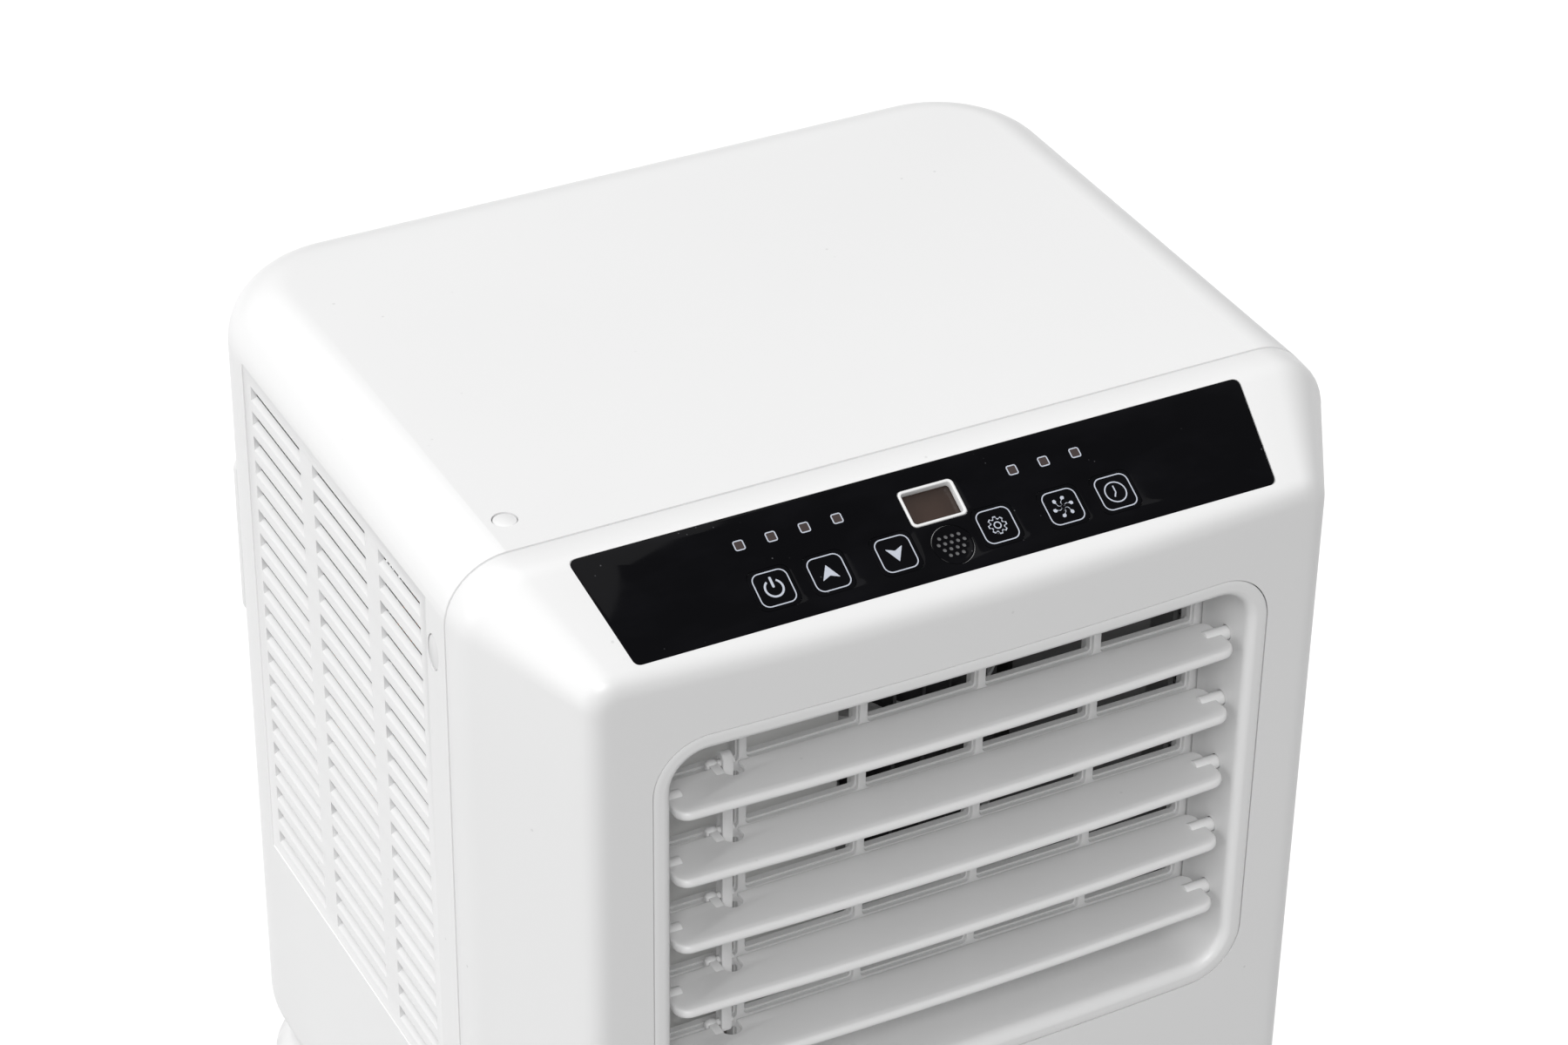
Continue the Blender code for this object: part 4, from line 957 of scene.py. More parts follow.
def makeKeys(spec):
    face = spec["face"]
    low, high = face - 0.02 * mm, face + spec["ink"]
    signs = {"power_key": powerSign(low, high), "warmer_key": arrowSign(low, high, 1),
             "cooler_key": arrowSign(low, high, -1), "mode_key": gearSign(low, high),
             "speed_key": fanSign(low, high), "timer_key": clockSign(low, high)}
    size, corner, line = spec["keySize"], spec["keyCorner"], spec["line"]
    for name, shapes in signs.items():
        pad = soften(plate(squareOutline(size, corner), face - spec["thick"], face), 0.06 * mm, 1, 50)
        stem = rodShape(3 * mm, (0, 0, -6.8 * mm), (0, 0, face - 0.2 * mm))
        ring = ringPlate(squareOutline(spec["ring"], corner),
                         squareOutline(spec["ring"] - 2 * line, corner - line), low, high)
        marks = paint(merged(ring, *shapes), 1)
        bm = toSlope(merged(merged(pad, stem), marks), keyPlaces[name])
        bmesh.ops.translate(bm, vec=onSlope.to_3x3() @ Vector((0, spec["keyRow"], 0)), verts=bm.verts)
        addPiece(name + "_pad", bm, ["film", "ink"], name, [name])


makePanel(panel)
makeLabel(label)
makeKeys(label)
print("front panel and controls made")


# Air outlet

outlet = {
    "radius": 20 * mm,
    "rim": 7 * mm,
    "duct": 2 * mm,
    "back": -26 * mm,
    "louvreCount": 5,
    "louvreDrop": 81 * mm,
    "louvrePitch": 27 * mm,
    "louvreHalf": 104 * mm,
    "pivotDepth": -41 * mm,
    "chordFront": 10.5 * mm,
    "chordRear": 8 * mm,
    "nose": 1.75 * mm,
    "tail": 0.95 * mm,
    "pinRadius": 2.5 * mm,
    "linkX": -77 * mm,
    "linkArm": 10 * mm,
    "posts": (-66.9, -22.3, 22.3, 66.9),
    "postWidth": 3 * mm,
    "bar": 4 * mm,                # height and depth of the grid's bars
    "barDrop": 7 * mm,            # each bar's top below its louvre's pivot
}
pivotY = partingY + outlet["pivotDepth"]


def louvreLevels():
    first = top - outlet["louvreDrop"]
    return [first - i * outlet["louvrePitch"] for i in range(outlet["louvreCount"])]


def mouthRow(inset, depth, bow):
    # a rounded rectangle round the outlet, its front following the bow of the face
    low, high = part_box("outlet_frame")
    grown = 0.3 * mm
    left, right = low.x - grown + inset, high.x + grown - inset
    foot, head = low.z - grown + inset, high.z + grown - inset
    radius = outlet["radius"] - inset
    steps, parts = 12, 24
    points = []
    corners = ((right - radius, foot + radius, -90), (right - radius, head - radius, 0),
               (left + radius, head - radius, 90), (left + radius, foot + radius, 180))
    for i, (x, z, start) in enumerate(corners):
        points += arc((x, z), radius, start, start + 90, steps)
        nextX, nextZ, nextStart = corners[(i + 1) % 4]
        last = points[-1]
        goal = arc((nextX, nextZ), radius, nextStart, nextStart, 1)[0]
        points += [(last[0] + (goal[0] - last[0]) * t / parts, last[1] + (goal[1] - last[1]) * t / parts)
                   for t in range(1, parts)]
    return [Vector((x, faceY + depth - bow * bowAt(x), z)) for x, z in points]


def makeOutletFrame(spec):
    rim, duct = spec["rim"], spec["duct"]
    deep = spec["back"] + panel["faceDepth"]
    # how far inside the opening, how far behind the face, and how much of its bow each row follows
    rows = [(0.3, 3.5, 0.5), (0.3, 0.4, 1), (0.45, 0.12, 1), (0.8, 0.0, 1), (2.4, -0.02, 1), (3.6, 0.02, 1)]
    rows += [(4.0 + 3.0 * math.sin(math.radians(a)), 3.0 * (1 - math.cos(math.radians(a))), 1 - a / 180)
             for a in range(0, 91, 15)]
    rows = [(inset * mm, depth * mm, bow) for inset, depth, bow in rows]
    rows += [(rim, 8 * mm, 0), (rim, deep, 0), (rim - duct, deep, 0), (rim - duct, 4.5 * mm, 0.2)]
    rows.append(rows[0])
    bm = lofted([mouthRow(*row) for row in rows], closed=True)
    bore = spec["pinRadius"] + 0.25 * mm
    pins = [rodShape(bore, (side * 105 * mm, pivotY, z), (side * 111 * mm, pivotY, z))
            for z in louvreLevels() for side in (-1, 1)]
    bm = combined(bm, merged(*pins))
    addPiece("outlet_surround", bm, ["panel"], "housing", ["outlet_frame"], 40)


def louvreSection(x):
    # nose, top, tail and underside of a louvre at one place along it, about its axis
    reach = outlet["louvreHalf"]
    front = -outlet["chordFront"] - bowAt(x)
    rear = outlet["chordRear"]
    frontCorner, rearCorner, tip = 5 * mm, 4 * mm, 1.2 * mm
    over = max(0, abs(x) - reach + frontCorner)
    front += frontCorner - math.sqrt(max(0, frontCorner ** 2 - over ** 2))
    over = max(0, abs(x) - reach + rearCorner)
    rear -= (rearCorner - math.sqrt(max(0, rearCorner ** 2 - over ** 2))) * 1.3
    over = min(1, max(0, abs(x) - reach + tip) / tip)
    thin = 0.45 + 0.55 * math.sqrt(1 - over ** 2)
    nose, tail = outlet["nose"] * thin, outlet["tail"] * thin
    points = arc((front + nose, 0), nose, 262, 98, 12)
    shoulder = front + 2.2 * nose
    points += [(shoulder, nose * 0.93), (rear * 0.3, nose * 0.3 + tail * 0.72), (rear - tail, tail)]
    points += arc((rear - tail, 0), tail, 80, -80, 4)
    points += [(rear - tail, -tail), (rear * 0.3, -nose * 0.3 - tail * 0.72), (shoulder, -nose * 0.93)]
    return [Vector((x, y, z)) for y, z in points]


def makeLouvre(name, level, spec):
    reach = spec["louvreHalf"]
    ends = [reach - 6 * mm + 6 * mm * math.sin(math.radians(a)) for a in range(0, 91, 10)]
    places = sorted([-x for x in ends] + [-60 * mm + i * 20 * mm for i in range(7)] + ends)
    bm = lofted([louvreSection(x) for x in places], closed=True)
    for side in (1, -1):
        ring = [edge for edge in bm.edges if edge.is_boundary and edge.verts[0].co.x * side > 0]
        bmesh.ops.contextual_create(bm, geom=ring)

    link, notch = spec["linkX"], 3.6 * mm
    slot = boxShape((link - notch, 4.2 * mm, -10 * mm), (link + notch, 20 * mm, 10 * mm))
    end = rodShape(notch, (link, 4.2 * mm, -9 * mm), (link, 4.2 * mm, 9 * mm), 40)
    bm = combined(bm, combined(slot, end, "UNION"))
    soften(bm, 0.3 * mm, 2, 50, lambda m: abs(m.x - link) < 3.7 * mm and m.y > 0)

    pin = spec["pinRadius"]
    shapes = [bm]
    for side in (-1, 1):
        boss = rodShape(pin, (side * (reach - 6 * mm), 0, 0), (side * (reach + 4.3 * mm), 0, 0), 40)
        shapes.append(soften(boss, 0.3 * mm, 2, 50))
    arm = spec["linkArm"]
    ear = boxShape((link - 6.4 * mm, 3.0 * mm, -1.3 * mm), (link - 3.1 * mm, arm + 1.4 * mm, 1.3 * mm))
    shapes.append(soften(ear, 0.5 * mm, 2, 50))
    knob = [(0, -2.3), (1.2, -2.1), (1.95, -1.2), (2.1, 0), (1.95, 1.2), (1.2, 2.0), (1.2, 8.0), (0, 8.0)]
    shapes.append(turnedShape([(r * mm, h * mm) for r, h in knob], (link - 4.9 * mm, arm, 0), "X", 28))
    bm = merged(*shapes)
    bmesh.ops.translate(bm, vec=(0, pivotY, level), verts=bm.verts)
    addPiece(name + "_blade", bm, ["louvre"], name, [name], 40)


def makeLink(spec):
    levels = louvreLevels()
    x, y = spec["linkX"], pivotY + spec["linkArm"]
    outline = roundedOutline(y - 2.4 * mm, y + 2.4 * mm, levels[-1] - 4 * mm, levels[0] + 4 * mm, 2.3 * mm)
    bm = pushed([(x - 1.8 * mm, a, b) for a, b in outline], (3.6 * mm, 0, 0))
    holes = [rodShape(1.45 * mm, (x - 5 * mm, y, z), (x + 5 * mm, y, z), 24) for z in levels]
    bm = soften(combined(bm, merged(*holes)), 0.35 * mm, 2, 50)
    addPiece("louvre_link_bar", bm, ["louvre"], "louvre_link", ["louvre_link"])


def makeGrid(spec):
    low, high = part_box("outlet_grid")
    front, back = low.y, high.y
    bm = boxShape(low, high)
    rail, post, drop = spec["bar"], spec["postWidth"] / 2, spec["barDrop"]
    posts = [x * mm for x in spec["posts"]]
    lefts = [low.x + rail] + [x + post for x in posts]
    rights = [x - post for x in posts] + [high.x - rail]
    levels = [high.z - rail]
    for z in louvreLevels():
        levels += [z - drop, z - drop - rail]
    levels.append(low.z + rail)
    wide, deep = [], []
    for head, foot in zip(levels[::2], levels[1::2]):
        for left, right in zip(lefts, rights):
            outline = roundedOutline(left, right, foot, head, 1.4 * mm, 4)
            wide.append(pushed([(x, front - 5 * mm, z) for x, z in outline], (0, 6.6 * mm, 0)))
            outline = roundedOutline(left + 0.6 * mm, right - 0.6 * mm, foot + 0.8 * mm, head - 0.4 * mm,
                                     mm, 4)
            deep.append(pushed([(x, front - 5 * mm, z) for x, z in outline], (0, 20 * mm, 0)))
    step = 0.2 * mm
    backs = [boxShape((left - step, front + rail, low.z + rail - step),
                      (right + step, back + mm, high.z - rail + step)) for left, right in zip(lefts, rights)]
    bm = combined(combined(combined(bm, merged(*wide)), merged(*deep)), merged(*backs))
    soften(bm, 0.45 * mm, 2, 50, lambda m: m.y < front + 0.1 * mm and abs(m.x) < high.x - mm
           and low.z + mm < m.z < high.z - mm)
    addPiece("outlet_guard", bm, ["louvre"], "housing", ["outlet_grid"])


makeOutletFrame(outlet)
for index, level in enumerate(louvreLevels()):
    makeLouvre("louvre_" + str(index + 1), level, outlet)
makeLink(outlet)
makeGrid(outlet)
print("outlet and louvres made")


# Blower

blower = {
    "radius": 46 * mm,
    "blades": 27,
    "chord": 12 * mm,
    "bladeThick": 1.3 * mm,
    "lean": 7.5 * mm,             # how far a blade's inner edge trails its outer edge
    "belly": 1.6 * mm,
    "lift": 39 * mm,              # back plate above the scroll's floor
    "eye": 16 * mm,
    "wallThick": 2 * mm,
}


def wallShape(points, thick, low, high):
    left, right = [], []
    for i, point in enumerate(points):
        before, after = Vector(points[max(i - 1, 0)]), Vector(points[min(i + 1, len(points) - 1)])
        side = (after - before).normalized().orthogonal() * thick / 2
        left.append(Vector(point) + side)
        right.append(Vector(point) - side)
    return plate([tuple(p) for p in left + right[::-1]], low, high)


def bladeRing(spec, low, high):
    # the blades of a drum wheel round the Z axis
    radius, chord, count = spec["radius"], spec["chord"], spec["blades"]
    vanes = []
    for i in range(count):
        curve = [(radius - chord * t - 0.3 * mm, spec["belly"] * math.sin(math.pi * t) - spec["lean"] * t)
                 for t in (0, 0.25, 0.5, 0.75, 1)]
        vane = wallShape(curve, spec["bladeThick"], low, high)
        bmesh.ops.rotate(vane, matrix=Matrix.Rotation(math.tau * i / count, 3, "Z"), verts=vane.verts)
        vanes.append(vane)
    return merged(*vanes)


def makeBlower(spec):
    low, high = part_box("blower_wheel")
    x, y = (low.x + high.x) / 2, (low.y + high.y) / 2
    base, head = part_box("blower_scroll")[0].z + spec["lift"], high.z
    radius, chord = spec["radius"], spec["chord"]
    wheel = bladeRing(spec, base + mm, head - mm)
    wheel.normal_update()
    for face in wheel.faces:      # the faces that look at the axis are in the shade
        middle = face.calc_center_median()
        outward = face.normal.x * middle.x + face.normal.y * middle.y
        face.material_index = 0 if outward > 0 else 1
    bmesh.ops.translate(wheel, vec=(x, y, 0), verts=wheel.verts)
    eye = radius - chord
    rings = [turnedShape([(eye, z), (radius, z), (radius, z + 2 * mm), (eye, z + 2 * mm)], (x, y, 0), "Z", 87)
             for z in (head - 2 * mm, (base + head) / 2)]
    hub = turnedShape([(0, low.z), (4 * mm, low.z), (4 * mm, base), (radius, base), (radius, base + 2 * mm),
                       (14 * mm, base + 2 * mm), (11 * mm, base + 5 * mm), (9 * mm, base + 18 * mm),
                       (5 * mm, base + 20 * mm), (0, base + 20 * mm)], (x, y, 0), "Z", 64)
    addPiece("blower_drum", merged(wheel, hub, *rings), ["wheel", "well"], "blower_wheel",
             ["blower_wheel"])

    low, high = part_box("blower_scroll")
    floor = boxShape(low, (high.x, high.y, low.z + 2 * mm))
    reach = radius + 6 * mm
    start = partingY - 14.5 * mm
    left = [(-104 * mm, start), (-90 * mm, start + 2 * mm)]
    left += arc((x, y), reach + 12 * mm, 232, 208, 8)
    left += arc((x - 6 * mm, y), reach + 6 * mm, 200, 110, 18)
    right = [(104 * mm, start), (104 * mm, partingY)] + arc((x, y), reach, -25, 10, 10)
    walls = [wallShape(points, spec["wallThick"], low.z + mm, high.z) for points in (left, right)]
    # painted shade: the right wall gets the dark shade finish, standing in for the shadow it lies in
    paint(walls[1], 1)
    eye = rodShape(spec["eye"], (x, y, low.z - mm), (x, y, low.z + 3 * mm), 64)
    addPiece("blower_housing", merged(combined(floor, eye), *walls), ["scroll", "shade"], "housing",
             ["blower_scroll"])


makeBlower(blower)
print("blower made")


# Plugs and intake meshes

def makePlugs():
    low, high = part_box("top_screw_plug")
    middle = (low + high) / 2
    radius, edge = (high.x - low.x) / 2, 0.5 * mm
    bm = turnedShape([(0, low.z), (radius, low.z), (radius, high.z - edge),
                      (radius - 0.15 * mm, high.z - 0.15 * mm), (radius - edge, high.z), (0, high.z)],
                     (middle.x, middle.y, 0), "Z", 40)
    addPiece("top_plug", bm, ["louvre"], "housing", ["top_screw_plug"])
    for node in ("left_screw_plug", "right_screw_plug"):
        low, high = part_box(node)
        middle, reach = (low + high) / 2, (high - low) / 2
        oval = ovalPoints(low.x, middle, reach.y, reach.z)
        bm = soften(pushed(oval, (high.x - low.x, 0, 0)), 0.3 * mm, 2, 50)
        addPiece(node + "_cap", bm, ["plug"], "housing", [node])


weave = {
    "pitch": 2.6 * mm,
    "strand": 0.34 * mm,
}


def weaveShape(low, high, spec):
    # crossed strands in a thin upright sheet that faces X or Y
    low, high = Vector(low), Vector(high)
    wideAxis = 1 if high.x - low.x < high.y - low.y else 0
    thinAxis = 1 - wideAxis
    middle = (low[thinAxis] + high[thinAxis]) / 2
    bm = bmesh.new()

    def strand(first, last, depth):
        first[thinAxis], last[thinAxis] = depth - spec["strand"] / 2, depth + spec["strand"] / 2
        boxShape(first, last, bm)
    for i in range(int((high[wideAxis] - low[wideAxis]) / spec["pitch"])):
        first, last = low.copy(), high.copy()
        first[wideAxis] = low[wideAxis] + (i + 0.5) * spec["pitch"]
        last[wideAxis] = first[wideAxis] + spec["strand"]
        strand(first, last, middle - 0.1 * mm)
    for i in range(int((high.z - low.z) / spec["pitch"])):
        first, last = low.copy(), high.copy()
        first.z = low.z + (i + 0.5) * spec["pitch"]
        last.z = first.z + spec["strand"]
        strand(first, last, middle + 0.1 * mm)
    return bm


def frameShape(low, high, edge, columns, rows):
    # a flat frame with crossing ribs, upright, thin in X or Y
    low, high = Vector(low), Vector(high)
    wideAxis = 1 if high.x - low.x < high.y - low.y else 0
    wide = (high[wideAxis] - low[wideAxis] - edge * (columns + 1)) / columns
    tall = (high.z - low.z - edge * (rows + 1)) / rows
    holes = bmesh.new()
    for i in range(columns):
        for j in range(rows):
            first, last = low - Vector((5 * mm, 5 * mm, 0)), high + Vector((5 * mm, 5 * mm, 0))
            first[wideAxis] = low[wideAxis] + edge + i * (wide + edge)
            last[wideAxis] = first[wideAxis] + wide
            first.z = low.z + edge + j * (tall + edge)
            last.z = first.z + tall
            boxShape(first, last, holes)
    return combined(boxShape(low, high), holes)


def makeIntakes(spec):
    for node in ("left_intake_mesh", "right_intake_mesh"):
        low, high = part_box(node)
        inner = Vector((0, 4 * mm, 4 * mm))
        frameBm = soften(frameShape(low, high, 5 * mm, 2, 4), 0.2 * mm, 1, 50)
        bm = merged(frameBm, weaveShape(low + inner, high - inner, spec))
        addPiece(node + "_weave", bm, ["mesh"], "housing", [node])


# Back: sliding filter, its rails, exhaust collar, drain plugs, cord gland

rear = {
    "filterEdge": 7 * mm,
    "rail": 6 * mm,
    "collarBore": 63.5 * mm,
    "collarWall": 2.5 * mm,
    "flange": 73.5 * mm,
}


def makeRear(spec):
    low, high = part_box("rear_filter")
    left = -high.x
    sheet = frameShape((left, low.y, low.z), high, spec["filterEdge"], 4, 4)
    soften(sheet, 0.5 * mm, 2, 50)
    inner = Vector((6 * mm, 0.5 * mm, 6 * mm))
    net = weaveShape(Vector((left, low.y, low.z)) + inner, high - inner, weave)
    tab = roundedOutline(low.x, left + 4 * mm, top - 160 * mm, top - 90 * mm, 6 * mm)
    tab = soften(pushed([(x, low.y, z) for x, z in tab], (0, 3 * mm, 0)), 0.5 * mm, 2, 50)
    grips = [boxShape((low.x + 8 * mm, low.y + 2.8 * mm, z * mm),
                      (left - 6 * mm, low.y + 3.5 * mm, (z + 1.6) * mm)) for z in range(545, 586, 5)]
    bm = merged(paint(net, 1), sheet, tab, *grips)
    addPiece("back_filter", bm, ["casing", "mesh"], "rear_filter", ["rear_filter"])

    rails = []
    for level in (high.z + 0.5 * mm, low.z - 0.5 * mm - spec["rail"]):
        rails.append(boxShape((left, backY - mm, level), (high.x, backY + 4 * mm, level + spec["rail"])))
    for level in (high.z - 2 * mm, low.z - 0.5 * mm - spec["rail"]):
        rails.append(boxShape((left, backY + 5.3 * mm, level), (high.x, backY + 7 * mm, level + 8.5 * mm)))
    for level in (high.z + 0.5 * mm, low.z - 0.5 * mm - spec["rail"]):
        rails.append(boxShape((left, backY + 3 * mm, level), (high.x, backY + 6 * mm, level + spec["rail"])))
    addPiece("filter_rails", soften(merged(*rails), 0.4 * mm, 2, 50), ["casing"], "housing")

    low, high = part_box("exhaust_collar")
    x, z = (low.x + high.x) / 2, (low.z + high.z) / 2
    bore, outer, flange = spec["collarBore"], spec["collarBore"] + spec["collarWall"], spec["flange"]
    profile = [(bore, low.y), (outer, low.y), (outer, backY + 0.3 * mm), (flange, backY + 0.3 * mm),
               (flange, backY + 2.5 * mm), (flange - 0.5 * mm, backY + 3 * mm), (outer + mm, backY + 3 * mm),
               (outer, backY + 4 * mm), (outer, high.y - 0.8 * mm), (outer - 0.8 * mm, high.y),
               (bore + 0.5 * mm, high.y), (bore, high.y - 0.5 * mm)]
    bm = turnedShape(profile, (x, 0, z), "Y", 96)
    lugs = []
    for i in range(12):
        angle = math.tau * (i + 0.5) / 12
        lug = boxShape((-1.1 * mm, backY + 2.5 * mm, outer - 0.5 * mm),
                       (1.1 * mm, high.y - 2 * mm, outer + 5 * mm))
        bmesh.ops.rotate(lug, matrix=Matrix.Rotation(angle, 3, "Y"), verts=lug.verts)
        bmesh.ops.translate(lug, vec=(x, 0, z), verts=lug.verts)
        lugs.append(soften(lug, 0.4 * mm, 2, 50))
    spokes = []
    near, far = backY - 8 * mm, backY - 4 * mm
    for i in range(8):
        angle = math.pi * i / 8
        spoke = boxShape((-bore - 0.5 * mm, near, -0.7 * mm), (bore + 0.5 * mm, far, 0.7 * mm))
        bmesh.ops.rotate(spoke, matrix=Matrix.Rotation(angle, 3, "Y"), verts=spoke.verts)
        bmesh.ops.translate(spoke, vec=(x, 0, z), verts=spoke.verts)
        spokes.append(spoke)
    for inner in (20 * mm, 34 * mm, 48 * mm):
        rim = inner + 1.4 * mm
        spokes.append(turnedShape([(inner, near), (rim, near), (rim, far), (inner, far)], (x, 0, z), "Y", 64))
    addPiece("exhaust_ring", merged(bm, *lugs), ["casing"], "housing", ["exhaust_collar"])
    addPiece("exhaust_guard", merged(*spokes), ["casing"], "housing")

    for node in ("upper_drain_plug", "lower_drain_plug"):
        low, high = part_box(node)
        x, z, face = (low.x + high.x) / 2, (low.z + high.z) / 2, high.y - 7 * mm
        profile = [(0, low.y), (5.4 * mm, low.y), (6 * mm, low.y + mm), (6 * mm, face + 0.3 * mm),
                   (9 * mm, face + 0.3 * mm), (9 * mm, face + 2.2 * mm), (8.2 * mm, face + 3 * mm),
                   (3.6 * mm, face + 3 * mm), (3 * mm, face + 3.8 * mm), (3 * mm, high.y - 0.8 * mm),
                   (2.2 * mm, high.y), (0, high.y)]
        addPiece(node + "_cap", turnedShape(profile, (x, 0, z), "Y", 40), ["rubber"], node, [node])
    low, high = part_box("cord_inlet_gland")
    x, z = (low.x + high.x) / 2, (low.z + high.z) / 2
    profile = [(3.6 * mm, low.y), (6.6 * mm, low.y), (7 * mm, low.y + 0.4 * mm), (7 * mm, backY + 0.3 * mm),
               (10.5 * mm, backY + 0.3 * mm), (10.5 * mm, backY + 1.6 * mm), (9.8 * mm, backY + 2.2 * mm)]
    for i in range(3):
        y = backY + (3.0 + i * 2.0) * mm
        profile += [(7.6 * mm - i * 0.7 * mm, y), (8.4 * mm - i * 0.7 * mm, y + 0.5 * mm),
                    (8.4 * mm - i * 0.7 * mm, y + 1.1 * mm), (7.4 * mm - i * 0.7 * mm, y + 1.5 * mm)]
    profile += [(5 * mm, high.y), (3.6 * mm, high.y)]
    addPiece("cord_gland", turnedShape(profile, (x, 0, z), "Y", 40), ["rubber"], "housing",
             ["cord_inlet_gland"])


# Cooling circuit

circuit = {
    "finPitch": 2.4 * mm,
    "finThick": 0.25 * mm,
    "tube": 3.6 * mm,
    "bend": 9 * mm,
    "rows": 21 * mm,
}


def bendShape(middle, reach, radius, side):
    # a half ring of tube in an upright plane, bulging to one side
    bm = bmesh.new()
    turn = Matrix.Translation((0, 0, reach)) @ Matrix.Rotation(math.pi / 2, 4, "Y")
    made = bmesh.ops.create_circle(bm, cap_ends=False, segments=14, radius=radius, matrix=turn)
    edges = list(bm.edges)
    bmesh.ops.spin(bm, geom=made["verts"] + edges, cent=(0, 0, 0), axis=(0, 1, 0), angle=side * math.pi,
                   steps=12, use_merge=False, use_duplicate=False)
    bmesh.ops.translate(bm, vec=middle, verts=bm.verts)
    return bm


def makeCoil(name, node, spec):
    low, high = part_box(node)
    margin = spec["bend"] + spec["tube"]
    left, right = low.x + margin, high.x - margin
    fins = bmesh.new()
    for i in range(int((right - left) / spec["finPitch"])):
        x = left + i * spec["finPitch"]
        boxShape((x, low.y, low.z), (x + spec["finThick"], high.y, high.z), fins)
    for x in (left - 1.5 * mm, right):
        boxShape((x, low.y, low.z), (x + 1.5 * mm, high.y, high.z), fins)
    tubes = []
    rows = int((high.z - low.z) / spec["rows"] / 2)
    start = (low.z + high.z) / 2 - (rows - 0.5) * spec["rows"]
    for y in (low.y + (high.y - low.y) * 0.28, low.y + (high.y - low.y) * 0.72):
        for row in range(2 * rows):
            z = start + row * spec["rows"]
            tubes.append(rodShape(spec["tube"], (left - 2 * mm, y, z), (right + 2 * mm, y, z), 14))
        for row in range(2 * rows - 1):
            side = 1 if row % 2 == 0 else -1
            x = right + 1.9 * mm if side > 0 else left - 1.9 * mm
            bend = bendShape((0, 0, 0), spec["rows"] / 2, spec["tube"], side)
            squash = (margin - 2 * mm) / (spec["rows"] / 2 + spec["tube"])
            bmesh.ops.scale(bend, vec=(min(1, squash), 1, 1), verts=bend.verts)
            bmesh.ops.translate(bend, vec=(x, y, start + (row + 0.5) * spec["rows"]), verts=bend.verts)
            tubes.append(bend)
    bm = merged(fins, paint(merged(*tubes), 1))
    addPiece(name, bm, ["fins", "copper"], "housing", [node])


def pipeShape(points, radius, bendRadius):
    # a round tube along a line of points, its corners bent
    route = [Vector(points[0])]
    for i in range(1, len(points) - 1):
        corner = Vector(points[i])
        back, ahead = Vector(points[i - 1]) - corner, Vector(points[i + 1]) - corner
        bend = min(bendRadius, back.length / 2.1, ahead.length / 2.1)
        before, after = corner + back.normalized() * bend, corner + ahead.normalized() * bend
        route += [before.lerp(corner, t / 8).lerp(corner.lerp(after, t / 8), t / 8) for t in range(9)]
    route.append(Vector(points[-1]))
    rows = []
    across = (route[1] - route[0]).orthogonal().normalized()
    for i, point in enumerate(route):
        along = (route[min(i + 1, len(route) - 1)] - route[max(i - 1, 0)]).normalized()
        across = (across - along * across.dot(along)).normalized()
        other = along.cross(across)
        rows.append([point + across * radius * math.cos(angle) + other * radius * math.sin(angle)
                     for angle in [t * math.tau / 18 for t in range(18)]])
    bm = lofted(rows, closed=True)
    bmesh.ops.holes_fill(bm, edges=bm.edges)
    return bm


